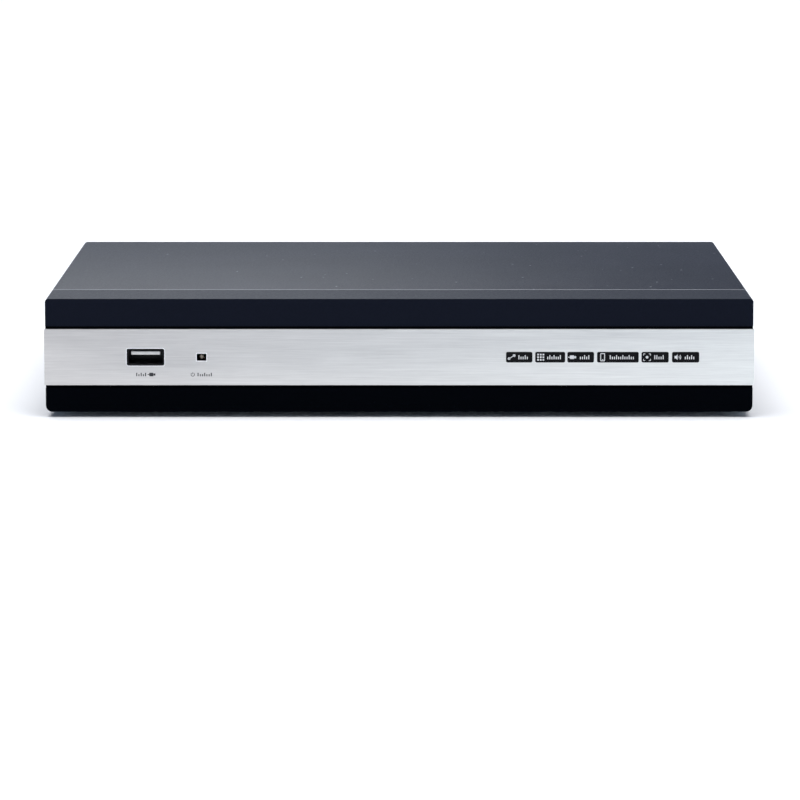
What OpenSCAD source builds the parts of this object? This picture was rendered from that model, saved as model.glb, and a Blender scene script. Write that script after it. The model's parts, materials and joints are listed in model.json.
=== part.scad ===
// Compact sixteen-input video recorder: steel tray and cover, plastic front with an aluminium trim plate,
// a row of connectors at the rear, a main board and one 3.5 inch drive inside.
// Millimetres. The front faces -Y, +X is to the right seen from the front, and Z = 0 is under the feet.
// Every height below is counted from the underside of the tray; raised() lifts it onto the feet.

/* [Case] */
// Width over the cover and the bezel
case_w = 255; // [254:1:262]
// Height of the body without its feet
case_h = 41; // [41:0.5:46]
// Depth from the bezel's face to the cover's rear edge
case_d = 205; // [204:1:230]
// Sheet thickness of the cover
cover_t = 0.8; // [0.6:0.1:0.9]
// Sheet thickness of the tray
tray_t = 1; // [0.8:0.1:1.1]
// Width of the cover's rear return flange at the sides
flange_side = 2.95; // [2:0.05:3.2]
// Width of the cover's rear return flange at the top
flange_top = 2.75; // [2:0.05:3]
// Depth of the bezel's top strip
bezel_d = 30; // [20:1:32]
// Height of the rubber feet
foot_h = 2; // [1.5:0.5:6]
// Distance of the feet from the case's sides and ends
foot_inset = 22; // [16:1:40]

/* [Front] */
// Height of the trim plate
trim_h = 20.35; // [18:0.05:22]
// Underside of the trim plate
trim_z = 9.7; // [8:0.05:10]
// Thickness of the trim plate
trim_t = 1.5; // [1.2:0.1:1.8]
// How far the trim plate stands out of the bezel
trim_proud = 0.4; // [0.2:0.1:0.6]
// Groove above and below the trim plate
trim_groove = 1; // [0.4:0.1:1.2]
// Centre of the front USB port from the middle
front_usb_x = -91.4; // [-96:0.1:-80]
// Centre of the power light from the middle
power_led_x = -71.2; // [-74:0.1:-68]
// Height of the USB port and the power light
front_port_z = 19.9; // [18:0.1:21]

/* [Video inputs] */
// Columns of video inputs
bnc_columns = 8; // [1:1:8]
// Distance between columns
bnc_pitch = 18.17; // [17.8:0.01:18.17]
// Centre of the outermost column
bnc_first_x = 114.9; // [114:0.1:115.2]
// Height of the lower row
bnc_low_z = 13.3; // [13:0.1:14]
// Height of the upper row
bnc_high_z = 28.5; // [28:0.1:29]
// How far the jacks stand out of the rear panel
bnc_reach = 13; // [12:0.5:15]
// Radius of a jack's barrel at its mouth
bnc_r = 4.8; // [4.75:0.01:4.85]

/* [Rear ports] */
// Audio output jack, from the middle
audio_out_x = -31.1; // [-32:0.1:-30]
// Audio input jacks, from the middle
audio_in_x = -84; // [-84.4:0.1:-83.6]
// Height of the lower audio input
audio_low_z = 13; // [12.8:0.1:13.4]
// Height of the upper audio input
audio_high_z = 27.2; // [27:0.1:28]
// High definition video port, from the middle
hd_port_x = -48.2; // [-49:0.1:-47]
// Network and USB stack, from the middle
stack_x = -67.25; // [-67.5:0.05:-67]
// Analogue video port, from the middle
vga_x = -107.5; // [-107.8:0.1:-107.2]
// Height of the analogue video port
vga_z = 31.8; // [31.5:0.1:32]
// Distance between the two jackscrews
vga_screw_span = 24.99; // [24.99:0.01:25]
// Centre of the power socket
dc_x = -106.8; // [-107:0.1:-106.6]
// Radius of the power socket's centre pin
dc_pin_r = 1.05; // [1:0.05:1.25]

/* [Inside] */
// Width of the main board
board_w = 244; // [242:1:246]
// Depth of the main board
board_d = 84; // [82:1:86]
// Length of the hard drive
drive_l = 147; // [146:0.5:147]
// Width of the hard drive
drive_w = 101.6; // [101:0.1:102]
// Height of the hard drive
drive_h = 26.1; // [25:0.1:26.5]

/* [Hidden] */

seam = 0.2;                                   // gap between the cover and the pieces it slides past
length_all = trim_proud + case_d - cover_t - seam + bnc_reach;
front_y = trim_proud - length_all / 2;        // face of the bezel
rear_y = front_y + case_d;                    // rear edge of the cover
panel_y = rear_y - cover_t - seam;            // outer face of the rear panel
cover_y = front_y + bezel_d;                  // front edge of the cover
bezel_t = 2;                                  // wall of the bezel
face_t = 2.8;                                 // front wall of the bezel
trim_edge = [0.15, 0.5];                      // depth and height of the trim's lower chamfer
plate_y = front_y + face_t;                   // outer face of the tray's front plate
tray_w = case_w - 2 * (cover_t + seam);
nose_w = case_w - 2 * (bezel_t + 0.3);        // width of the tray inside the bezel
cover_low = 0.85;                             // lower edge of the cover's sides
wall_h = 12;                                  // height of the tray's side walls
screw_y = cover_y + 6;                        // cover screws
screw_z = 20;
port_gap = 0.25;                              // gap round each connector in the panel
stack_side_gap = 0.5;                         // wider gap beside the network and USB stack
dish_r = 6.3;                                 // collar of a round jack
collar = [[0, -3], [dish_r, -3], [dish_r, 0.7], [dish_r - 0.35, 0.9], [5.3, -0.5]];
base_r = 5.2;                                 // coloured base of an audio input
audio_r = 4.15;                               // barrel of an audio jack
audio_reach = 9;
audio_out_z = bnc_low_z;
audio_out_reach = 10.5;
hd_port_z = 9.66;
stack_w = 19.5;
stack_z = 6.5;
stack_h = 30.6;
stack_proud = 0.8;
stack_top_gap = 0.75;                         // gap in the panel above the stack
stack_depth = 21;
earth_at = [-119.3, 20];
earth_r = 1.3;
rear_screw_at = [-91.2, 20.1];
terminal_x = -97.25;
terminal_w = 9.1;
terminal_pitch = 4.3;                         // between its two wires
dc_z = 13;
dc_w = 9.4;
board_z = 4.6;
board_t = 1.6;
board_top = board_z + board_t;
board_back = panel_y - tray_t - 0.5;
board_front = board_back - board_d;
block_y = [panel_y - 15, panel_y - 3];        // depth of the jack blocks behind the panel
drive_x = -38;                                // connector end of the drive
drive_y = -100;                               // side of the drive that faces the front
drive_z = 3;
drive_mid_y = drive_y + drive_w / 2;
platter_r = 47.5;
spindle = [drive_x + drive_l - 51, drive_mid_y];
arm_pivot = [spindle[0] - 56, spindle[1] - 16.8];
arm_rest = 70.7;                              // parked direction of the head arm, in degrees from +X
pivot_r = 3;                                  // spindle and arm shafts
running = 0.05;                               // running clearance of the drive's two shafts
drive_floor = 9;                              // floor of the drive's chamber
lid_t = 1.5;
lid_screw_r = 1.2;
lid_z = drive_z + drive_h - lid_t;

bnc_centres = [for (i = [0 : bnc_columns - 1], z = [bnc_low_z, bnc_high_z]) [bnc_first_x - i * bnc_pitch, z]];
audio_in_centres = [[audio_in_x, audio_high_z], [audio_in_x, audio_low_z]];
drive_holes = [for (x = [28.5, 130.1], y = [3.2, drive_w - 3.2]) [drive_x + drive_l - x, drive_y + y]];
lid_holes = [for (x = [6, drive_l / 2, drive_l - 6], y = [5, drive_w - 5]) [drive_x + x, drive_y + y]];
board_holes = [for (x = [-115, 0, 115], y = [board_front + 6, board_front + 62]) [x, y]];
front_board_holes = [[-101, -87.5], [-63, -87.5]];
front_board_z = front_port_z - 2.85 - board_t;
bnc_floor_y = panel_y + 3.2;                  // floor of a video jack's barrel
bnc_face_y = panel_y + bnc_reach - 3;         // face of its insulator
tongue_w = 10.4;                              // tongue of the front USB port
led_r = 0.85;
led_window = [3.5, 2.6];                      // opening in front of the power light
usb_heights = [10.55, 19.15];                 // centres of the two rear USB ports
usb_opening = [13.4, 5.6];
lan_z = 25.2;                                 // lower edge of the network port
lan_led_x = 6.1;                              // its two lights, from the middle of the stack
lan_led_z = 34.5;
lan_led_window = [3.3, 2.4];
lan_led_gap = 0.3;                            // dark gap round each light
low_port_z = 6.3;                             // lower edge of the terminal's and power socket's openings
rs485_top = 13.9;
dc_top = 17.6;
dc_hole_r = 3.2;
hook_x = [-60, 60];                           // snap hooks of the bezel
hook_mid_z = 19.4;
hook_span = 15;                               // from their middle height to each row
feet = [for (s = [-1, 1], y = [front_y + foot_inset, rear_y - foot_inset])
    [s * (case_w / 2 - foot_inset), y]];

// Cable routes: straight out of each plug, over the gap between the board and the drive.
sata_route = [[-80, 22, 25], [-80, 22, 29], [-79, 17, 33], [-77, 7, 33], [-74, -6, 28], [-72, -20, 18],
    [-69, -34, 9], [-63, -43, 5.9], [-56, -46, 5.7], [-50, -46, 5.7]];
power_route = [[-100, 25, 19], [-100, 25, 23], [-99, 20, 27], [-96, 9, 27], [-92, -6, 21], [-86, -22, 12],
    [-78, -42, 7], [-70, -56, 5.7], [-60, -63, 5.7], [-52, -64.5, 5.7]];
front_route = [[-95, -84, 18.6], [-95, -78, 18.6], [-99, -64, 14], [-107, -44, 6], [-112, -24, 4],
    [-113, -8, 8], [-113, 6, 16], [-113, 16, 21.5], [-113, 22, 21], [-113, 23.5, 18], [-113, 23.5, 15]];

// ---- Shared shapes ----

module raised() translate([0, 0, foot_h]) children();

// A block between two limits on each axis.
module slab(x, y, z)
    translate([x[0], y[0], z[0]]) cube([x[1] - x[0], y[1] - y[0], z[1] - z[0]]);

// An outline drawn in X and Z, carried along Y.
module along_y(from, to)
    translate([0, to, 0]) rotate([90, 0, 0]) linear_extrude(to - from) children();

// An outline drawn in Y and Z, carried along X.
module along_x(from, to)
    translate([from, 0, 0]) rotate([90, 0, 90]) linear_extrude(to - from) children();

// A round bar along Y at an [x, z] place.
module rod_y(at, r, from, to, sides = 48)
    translate([at[0], from, at[1]]) rotate([-90, 0, 0]) cylinder(r = r, h = to - from, $fn = sides);

// A profile of [radius, distance behind the panel] points turned about the Y direction.
module turned(at, points)
    translate([at[0], panel_y, at[1]]) rotate([-90, 0, 0]) rotate_extrude($fn = 64) polygon(points);

// The two limits of a stretch that reaches half to each side of a middle.
function span(middle, half) = [middle - half, middle + half];

function unit(v) = v / norm(v);

// The arc of n steps that rounds the corner b between a and c.
function corner(a, b, c, r, n) =
    let (u = unit(a - b), v = unit(c - b), half = acos(u * v) / 2, centre = b + unit(u + v) * r / sin(half),
         p = b + u * r / tan(half) - centre, q = b + v * r / tan(half) - centre,
         from = atan2(p[1], p[0]), turn = atan2(p[0] * q[1] - p[1] * q[0], p * q))
    [for (i = [0 : n]) centre + r * [cos(from + turn * i / n), sin(from + turn * i / n)]];

// A polygon with each corner rounded by its own radius.
function rounded(points, radii, n = 6) =
    let (k = len(points))
    [for (i = [0 : k - 1], p = radii[i] == 0 ? [points[i]]
        : corner(points[(i + k - 1) % k], points[i], points[(i + 1) % k], radii[i], n)) p];

function oblong(w, h) = [[-w / 2, -h / 2], [w / 2, -h / 2], [w / 2, h / 2], [-w / 2, h / 2]];

module soft_rect(w, h, r) polygon(rounded(oblong(w, h), [r, r, r, r]));

// A slot with round ends, long in the second direction.
module round_slot(w, h) {
    square([w, h - w], center = true);
    for (s = [-1, 1]) translate([0, s * (h - w) / 2]) circle(d = w, $fn = 24);
}

function hd_port_outline(g) = [[-7.5 - g, -1 - g / 2], [-4.7 - g / 2, -2.9 - g], [4.7 + g / 2, -2.9 - g],
    [7.5 + g, -1 - g / 2], [7.5 + g, 2.9 + g], [-7.5 - g, 2.9 + g]];

module hd_port_shape(g) translate([hd_port_x, hd_port_z])
    polygon(rounded(hd_port_outline(g), [1, 1, 1, 1, 0.5, 0.5], 4));

// The trapezium of the analogue video port, wider at the top.
module vga_shape(g) translate([vga_x, vga_z]) polygon(rounded(
    [[-7.25 - g, -3.9 - g], [7.25 + g, -3.9 - g], [8.15 + g, 3.9 + g], [-8.15 - g, 3.9 + g]],
    [1, 1, 1, 1] * (2.3 + g)));

// The outline of the network port, with the latch notch above.
module lan_shape() translate([stack_x, lan_z]) polygon([[-6.45, 0], [6.45, 0], [6.45, 7.9], [4.2, 7.9],
    [3.2, 8.9], [3.2, 10.4], [-3.2, 10.4], [-3.2, 8.9], [-4.2, 7.9], [-6.45, 7.9]]);

module usb_shapes() for (z = usb_heights) translate([stack_x, z])
    soft_rect(usb_opening[0], usb_opening[1], 0.4);

module led_shapes() for (s = [-1, 1]) translate([stack_x + s * lan_led_x, lan_led_z])
    square(lan_led_window, center = true);

// A closed tube swept along a smoothed route.
function smoothed(p, n) = [for (i = [0 : len(p) - 2], s = [0 : n - 1])
    let (a = p[max(i - 1, 0)], b = p[i], c = p[i + 1], d = p[min(i + 2, len(p) - 1)], t = s / n)
    0.5 * (2 * b + (c - a) * t + (2 * a - 5 * b + 4 * c - d) * t * t + (3 * b - a - 3 * c + d) * t * t * t)];

module tube(route, r, sides = 8) {
    path = concat(smoothed(route, 4), [route[len(route) - 1]]);
    rings = len(path);
    points = [for (i = [0 : rings - 1])
        let (t = unit(path[min(i + 1, rings - 1)] - path[max(i - 1, 0)]), u = unit(cross(t, [1, 1, 0])),
             v = cross(t, u))
        for (k = [0 : sides - 1]) path[i] + r * (u * cos(k * 360 / sides) + v * sin(k * 360 / sides))];
    skin = [for (i = [0 : rings - 2], k = [0 : sides - 1])
        [i * sides + k, (i + 1) * sides + k, (i + 1) * sides + (k + 1) % sides, i * sides + (k + 1) % sides]];
    near = [for (k = [0 : sides - 1]) k];
    far = [for (k = [sides - 1 : -1 : 0]) (rings - 1) * sides + k];
    polyhedron(points, concat(skin, [near, far]), convexity = 6);
}

// ---- Case ----

module panel_openings() {
    for (c = concat(bnc_centres, [[audio_out_x, audio_out_z]]))
        translate(c) circle(dish_r + port_gap, $fn = 64);
    for (c = audio_in_centres) translate(c) circle(base_r + port_gap, $fn = 64);
    hd_port_shape(0.75);
    translate([stack_x - stack_w / 2 - stack_side_gap, stack_z - port_gap])
        square([stack_w + 2 * stack_side_gap, stack_h + port_gap + stack_top_gap]);
    vga_shape(0.5);
    for (s = [-1, 1]) translate([vga_x + s * vga_screw_span / 2, vga_z]) circle(1.65, $fn = 32);
    translate([terminal_x - terminal_w / 2 - port_gap, low_port_z - port_gap])
        square([terminal_w + 2 * port_gap, rs485_top - low_port_z + 2 * port_gap]);
    translate([dc_x - dc_w / 2 - port_gap, low_port_z - port_gap])
        square([dc_w + 2 * port_gap, dc_top - low_port_z + 2 * port_gap]);
    translate(rear_screw_at) circle(1.5, $fn = 32);
}

module rear_panel() difference() {
    along_y(panel_y - tray_t, panel_y) polygon([[-tray_w / 2 + 1.5, 0], [tray_w / 2 - 1.5, 0],
        [tray_w / 2, 1.2], [tray_w / 2, case_h - cover_t - seam],
        [-tray_w / 2, case_h - cover_t - seam], [-tray_w / 2, 1.2]]);
    along_y(panel_y - tray_t - 1, panel_y + 1) panel_openings();
}

module front_plate() difference() {
    slab([-nose_w / 2, nose_w / 2], [plate_y, plate_y + tray_t], [0, case_h - bezel_t - 0.3]);
    along_y(plate_y - 1, plate_y + tray_t + 1) {
        translate([front_usb_x, front_port_z]) square([14, 6.6], center = true);
        translate([power_led_x, front_port_z]) square([4, 4], center = true);
        for (x = hook_x, s = [-1, 1]) translate([x, hook_mid_z + s * hook_span])
            square([7, 3.6], center = true);
    }
}

module tray_walls() for (s = [-1, 1]) {
    x = s > 0 ? [tray_w / 2 - tray_t, tray_w / 2] : [-tray_w / 2, -tray_w / 2 + tray_t];
    slab(x, [cover_y + 0.5, panel_y], [0, wall_h]);
    slab(x, [screw_y - 5, screw_y + 8], [wall_h, screw_z + 6]);
}

module base_chassis() color("lightsteelblue") difference() {
    union() {
        slab([-tray_w / 2 + 1.5, tray_w / 2 - 1.5], [cover_y + 0.5, panel_y], [0, tray_t]);
        slab([-nose_w / 2, nose_w / 2], [plate_y, cover_y + 0.5], [0, tray_t]);
        tray_walls();
        front_plate();
        rear_panel();
        for (p = drive_holes) translate([p[0], p[1], 0]) cylinder(r = 6, h = drive_z, $fn = 40);
        rod_y(earth_at, 2.6, panel_y - 2.5, panel_y - tray_t, 32);
    }
    // the folded lower corners of the tray
    for (s = [-1, 1]) along_y(cover_y, panel_y + 1)
        polygon([[s * (tray_w / 2 + 1), -1], [s * (tray_w / 2 - 1.5), -1], [s * (tray_w / 2 - 1.5), 0],
            [s * tray_w / 2, 1.2], [s * (tray_w / 2 + 1), 1.2]]);
    for (p = drive_holes) translate([p[0], p[1], -1]) {
        cylinder(r = 5, h = drive_z, $fn = 40);
        cylinder(r = 1.9, h = drive_z + 2, $fn = 32);
    }
    for (s = [-1, 1]) translate([s * (tray_w / 2 - 3), screw_y, screw_z]) rotate([0, s * 90, 0])
        cylinder(r = 1.55, h = 6, $fn = 32);
    rod_y(earth_at, earth_r, panel_y - 5, panel_y + 1, 32);
    // air slots under the board
    for (i = [0 : 11]) translate([12 + i * 7, board_front + 36, -1])
        linear_extrude(tray_t + 2) round_slot(2.4, 26);
}

module cover_outline(low) polygon(rounded([[-case_w / 2, low], [case_w / 2, low], [case_w / 2, case_h],
    [-case_w / 2, case_h]], [0, 0, 1.2, 1.2]));

module top_cover() color("dimgray") difference() {
    union() {
        along_y(cover_y + seam, rear_y) difference() {
            cover_outline(cover_low);
            translate([-case_w / 2 + cover_t, -1]) square([case_w - 2 * cover_t, case_h - cover_t + 1]);
        }
        along_y(rear_y - cover_t, rear_y) difference() {
            cover_outline(cover_low);
            translate([-case_w / 2 + flange_side, -1])
                square([case_w - 2 * flange_side, case_h - flange_top + 1]);
        }
    }
    // the mitred corners of the return flange
    for (s = [-1, 1]) along_y(rear_y - cover_t - 0.01, rear_y + 1)
        polygon([[s * (case_w / 2 - cover_t - 0.1), case_h - cover_t],
            [s * (case_w / 2 - cover_t), case_h - cover_t],
            [s * (case_w / 2 - cover_t), case_h - cover_t - 0.1],
            [s * (case_w / 2 - flange_side - 0.2), case_h - flange_top - 0.3],
            [s * (case_w / 2 - flange_side - 0.3), case_h - flange_top - 0.2]]);
    // the flange's rounded lower ends
    for (s = [-1, 1]) along_y(rear_y - cover_t - 0.01, rear_y + 1) difference() {
        translate([s * (case_w / 2 - 0.7), cover_low + 0.6]) square([1.6, 1.6], center = true);
        translate([s * (case_w / 2 - 1.5), cover_low + 1.4]) circle(1.5, $fn = 40);
    }
    // slots for the cover screws, open at the front edge
    for (s = [-1, 1]) {
        x = s * case_w / 2;
        slab([x - 2, x + 2], [cover_y - 1, screw_y], [screw_z - 1.65, screw_z + 1.65]);
        translate([x - 2, screw_y, screw_z]) rotate([0, 90, 0]) cylinder(r = 1.65, h = 4, $fn = 32);
    }
    // air slots in both sides
    for (i = [0 : 17]) translate([0, screw_y + 24 + i * 6.5, 23.5]) rotate([90, 0, 90])
        translate([0, 0, -case_w]) linear_extrude(2 * case_w) round_slot(2.2, 17);
}

module cover_screws() color("silver") for (s = [-1, 1])
    translate([s * case_w / 2, screw_y, screw_z]) rotate([0, s * 90, 0]) difference() {
        union() {
            translate([0, 0, 0.05]) cylinder(r1 = 2.9, r2 = 2.5, h = 1, $fn = 40);
            translate([0, 0, -4.5]) cylinder(r = 1.45, h = 4.6, $fn = 32);
        }
        translate([0, 0, 0.55]) for (a = [0, 90]) rotate(a) translate([-1.5, -0.35, 0]) cube([3, 0.7, 1]);
    }

module front_bezel() color("black") {
    difference() {
        along_y(front_y, cover_y) polygon(rounded(
            [[-case_w / 2, 0], [case_w / 2, 0], [case_w / 2, case_h], [-case_w / 2, case_h]],
            [2.3, 2.3, 1.2, 1.2]));
        slab([-case_w / 2 + bezel_t, case_w / 2 - bezel_t], [plate_y, cover_y + 1], [-1, case_h - bezel_t]);
        // seat of the trim plate, open at both sides
        slab([-case_w, case_w], [front_y - 1, front_y + trim_t - trim_proud],
            [trim_z - trim_groove, trim_z + trim_h + trim_groove]);
        along_y(front_y, plate_y + 1) {
            translate([front_usb_x, front_port_z]) soft_rect(13.9, 6.5, 0.8);
            translate([power_led_x, front_port_z]) square(led_window, center = true);
        }
    }
    // hooks that snap through the tray's front plate
    for (x = hook_x, s = [-1, 1]) {
        z = hook_mid_z + s * hook_span;
        tip = z + s * 1.6;
        slab([x - 3, x + 3], [plate_y, plate_y + 3.4], [z - 0.7, z + 0.7]);
        slab([x - 3, x + 3], [plate_y + tray_t + 0.2, plate_y + 3.4], [min(z, tip), max(z, tip)]);
    }
}

module trim_plate() color("gainsboro") difference() {
    along_y(front_y - trim_proud, front_y + trim_t - trim_proud) difference() {
        translate([0, trim_z + trim_h / 2]) soft_rect(case_w + 2 * trim_proud, trim_h, 0.4);
        translate([front_usb_x, front_port_z]) soft_rect(13.6, 6.2, 0.7);
        translate([power_led_x, front_port_z]) square(led_window, center = true);
    }
    // chamfer along the lower front edge
    translate([0, front_y - trim_proud, trim_z]) along_x(-case_w, case_w)
        polygon([[-1, -1], [trim_edge[0], -1], [trim_edge[0], 0], [0, trim_edge[1]], [-1, trim_edge[1]]]);
}

module rubber_feet() color("black") for (p = feet)
    translate([p[0], p[1], -foot_h]) cylinder(r1 = 5.2, r2 = 6, h = foot_h, $fn = 48);

// ---- Front board ----

module front_usb_shell() color("silver") difference() {
    along_y(front_y, front_y + 14) translate([front_usb_x, front_port_z]) soft_rect(13.1, 5.7, 0.6);
    along_y(front_y - 1, front_y + 13) translate([front_usb_x, front_port_z]) soft_rect(12.5, 5.1, 0.4);
}

module front_usb_tongue() color("white")
    slab(span(front_usb_x, tongue_w / 2), [front_y + 0.9, front_y + 12.9], span(front_port_z + 1.35, 0.6));

module power_led() color("wheat") {
    rod_y([power_led_x, front_port_z], led_r, front_y + 2, front_y + 8, 32);
    translate([power_led_x, front_y + 2, front_port_z]) intersection() {
        sphere(r = led_r, $fn = 32);
        translate([-2, -2, -2]) cube([4, 2, 4]);
    }
    // its two legs
    for (s = [-1, 1]) slab(span(power_led_x + s * 0.5, 0.2), [front_y + 7, front_y + 7.5],
        [front_board_z + board_t, front_port_z]);
}

module front_board() color("darkgreen") difference() {
    slab([-105, -59], [plate_y + tray_t + 0.5, -84.3], [front_board_z, front_board_z + board_t]);
    for (p = front_board_holes) translate([p[0], p[1], 0]) cylinder(r = 1.7, h = 30, $fn = 32);
}

module front_cable() color("gray") tube(front_route, 1.3);

// ---- Main board and its pieces ----

module mainboard() color("darkgreen") difference() {
    slab([-board_w / 2, board_w / 2], [board_front, board_back], [board_z, board_top]);
    for (p = board_holes) translate([p[0], p[1], 0]) cylinder(r = 1.7, h = 30, $fn = 32);
}

module post(at, top) translate([at[0], at[1], tray_t]) difference() {
    cylinder(r = 2.9, h = top - tray_t, $fn = 6);
    translate([0, 0, 0.6]) cylinder(r = 1.45, h = top, $fn = 32);
}

module standoffs() color("goldenrod") {
    for (p = board_holes) post(p, board_z);
    for (p = front_board_holes) post(p, front_board_z);
}

// A pan-head screw standing on the surface at z, with a cross recess.
module pan_screw(z, shank, head_r = 2.8) translate([0, 0, z]) difference() {
    union() {
        cylinder(r1 = head_r, r2 = head_r * 0.8, h = 1.7, $fn = 40);
        translate([0, 0, -shank]) cylinder(r = 1.4, h = shank + 0.1, $fn = 32);
    }
    translate([0, 0, 0.8]) for (a = [0, 90]) rotate(a) translate([-1.5, -0.35, 0]) cube([3, 0.7, 1]);
}

module board_screws() color("silver") {
    for (p = board_holes) translate([p[0], p[1], 0]) pan_screw(board_top, 4.4);
    for (p = front_board_holes) translate([p[0], p[1], 0]) pan_screw(front_board_z + board_t, 6);
}

module bnc_shells() color("silver") for (c = bnc_centres) difference() {
    union() {
        turned(c, concat(collar, [[bnc_r - 0.25, -0.5], [bnc_r - 0.25, bnc_reach - 4.05],
            [bnc_r, bnc_reach - 4.05], [bnc_r, bnc_reach - 0.35], [bnc_r - 0.35, bnc_reach],
            [0, bnc_reach]]));
        // bayonet lugs
        translate([c[0] - 5.5, panel_y + bnc_reach - 5.1, c[1]]) rotate([0, 90, 0])
            cylinder(r = 1, h = 11, $fn = 32);
    }
    rod_y(c, bnc_r - 0.65, bnc_floor_y, panel_y + bnc_reach + 1, 64);
}

module bnc_insulators() color("lightgray") for (c = bnc_centres) difference() {
    rod_y(c, 2.25, bnc_floor_y, bnc_face_y);
    rod_y(c, 1.15, bnc_floor_y - 0.1, bnc_face_y - 0.6, 32);
    // the mouth of the contact hole has four lobes
    for (at = concat([c], [for (a = [0 : 90 : 270]) c + 0.65 * [cos(a), sin(a)]]))
        rod_y(at, 0.6, bnc_face_y - 0.7, bnc_face_y + 0.1, 20);
}

module bnc_contacts() color("dimgray") for (c = bnc_centres) difference() {
    rod_y(c, 1.05, bnc_floor_y, bnc_face_y - 0.7, 32);
    rod_y(c, 0.65, panel_y + 4.2, panel_y + bnc_reach, 24);
    for (a = [0, 90]) translate([c[0], panel_y + 5.2, c[1]]) rotate([0, a, 0]) translate([-2, 0, -0.15])
        cube([4, 4, 0.3]);
}

module bnc_housings() color("black") for (i = [0 : bnc_columns - 1]) {
    x = bnc_first_x - i * bnc_pitch;
    slab(span(x, 6.9), block_y, [board_top, bnc_high_z + 7]);
}

module audio_out_shell() color("silver") turned([audio_out_x, audio_out_z], concat(collar,
    [[audio_r, -0.5], [audio_r, audio_out_reach - 1], [audio_r - 0.3, audio_out_reach - 0.3],
    [audio_r - 1, audio_out_reach], [2.4, audio_out_reach], [2.1, audio_out_reach - 0.3], [2.1, 2], [0, 2]]));

module audio_in_shells() color("silver") for (c = audio_in_centres) turned(c,
    [[0, 1.5], [audio_r, 1.5], [audio_r, audio_reach - 0.5], [audio_r - 0.4, audio_reach],
    [3.6, audio_reach], [3.5, audio_reach - 0.2], [3.5, 2.2], [0, 2.2]]);

module audio_in_bases() color("firebrick") for (c = audio_in_centres)
    turned(c, [[0, -3], [base_r, -3], [base_r, 1.2], [base_r - 0.3, 1.5], [0, 1.5]]);

// The ring of plastic inside an audio jack, of outer radius r, from the floor to the top.
module audio_ring(at, r, floor, top) {
    lip = (r - 1.7) / 4;
    turned(at, [[1.7, floor], [r, floor], [r, top - lip], [r - lip, top], [1.7 + lip, top],
        [1.7, top - lip]]);
}

module audio_out_insert() color("dimgray")
    audio_ring([audio_out_x, audio_out_z], 2.1, 2, audio_out_reach - 0.7);

module audio_white_insert() color("white") audio_ring(audio_in_centres[0], 3.5, 2.2, audio_reach - 0.3);

module audio_red_insert() color("crimson") audio_ring(audio_in_centres[1], 3.5, 2.2, audio_reach - 0.3);

module audio_contacts() color("silver") {
    turned([audio_out_x, audio_out_z], [[1.3, 2], [1.6, 2], [1.6, 7], [1.3, 7]]);
    for (c = audio_in_centres) turned(c, [[1.3, 2.2], [1.6, 2.2], [1.6, 6], [1.3, 6]]);
}

module audio_blocks() color("black") {
    slab(span(audio_out_x, 7), block_y, [board_top, audio_out_z + 7]);
    difference() {
        union() {
            slab([audio_in_x - 5.2, audio_in_x + 5.9], block_y, [board_top, audio_high_z + 6]);
            // ear for the rear screw
            slab([audio_in_x - 10, audio_in_x - 5.1], block_y, span(rear_screw_at[1], 5));
        }
        rod_y(rear_screw_at, 1.3, panel_y - 9, panel_y);
    }
}

module hd_port_shell() color("silver") difference() {
    along_y(panel_y - 11, panel_y + 0.5) hd_port_shape(0);
    along_y(panel_y - 10, panel_y + 1) hd_port_shape(-0.4);
}

module hd_port_tongue() color("black")
    slab(span(hd_port_x, 5.8), [panel_y - 10, panel_y - 0.9], span(hd_port_z + 0.5, 0.6));

module lan_usb_shell() color("silver") difference() {
    slab(span(stack_x, stack_w / 2), [panel_y - stack_depth, panel_y + stack_proud],
        [stack_z, stack_z + stack_h]);
    slab(span(stack_x, stack_w / 2 - 0.5), [panel_y - stack_depth - 1, panel_y + stack_proud - 0.5],
        [stack_z - 1, stack_z + stack_h - 0.5]);
    along_y(panel_y, panel_y + 2) {
        lan_shape();
        usb_shapes();
        led_shapes();
    }
}

module lan_usb_insert() color("black") difference() {
    union() {
        slab(span(stack_x, stack_w / 2 - 0.6), [panel_y - stack_depth, panel_y + stack_proud - 0.5],
            [stack_z, stack_z + stack_h - 0.6]);
        slab(span(stack_x, stack_w / 2 - 0.6), [panel_y - stack_depth, board_back], [board_top, stack_z + 0.1]);
    }
    along_y(panel_y - 12.5, panel_y + 1) {
        lan_shape();
        usb_shapes();
    }
    along_y(panel_y - 8, panel_y + 1) led_shapes();
}

module lan_contacts() color("gold") for (i = [-3.5 : 1 : 3.5])
    slab(span(stack_x + i * 1.02, 0.2), [panel_y - 11, panel_y - 2], [lan_z, lan_z + 0.4]);

module usb_tongues() color("black") for (z = usb_heights)
    slab(span(stack_x, 5.6), [panel_y - 12.5, panel_y - 0.8], [z + 0.3, z + 2.1]);

// A light of the network port, sunk behind the shell's face.
module lan_led(x) {
    size = lan_led_window / 2 - [lan_led_gap, lan_led_gap];
    slab(span(x, size[0]), [panel_y - 8, panel_y + stack_proud - 0.6], span(lan_led_z, size[1]));
}

module lan_led_yellow() color("gold") lan_led(stack_x + lan_led_x);

module lan_led_green() color("green") lan_led(stack_x - lan_led_x);

module vga_shell() color("silver") difference() {
    union() {
        along_y(panel_y - 8, panel_y + 5) vga_shape(0);
        along_y(panel_y - tray_t - 0.85, panel_y - tray_t - 0.05)
            translate([vga_x, vga_z - 0.25]) soft_rect(31, 11.5, 1.5);
    }
    along_y(panel_y - 9, panel_y + 6) vga_shape(-0.5);
    for (s = [-1, 1]) rod_y([vga_x + s * vga_screw_span / 2, vga_z], 1.6, panel_y - 5, panel_y, 32);
}

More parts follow.
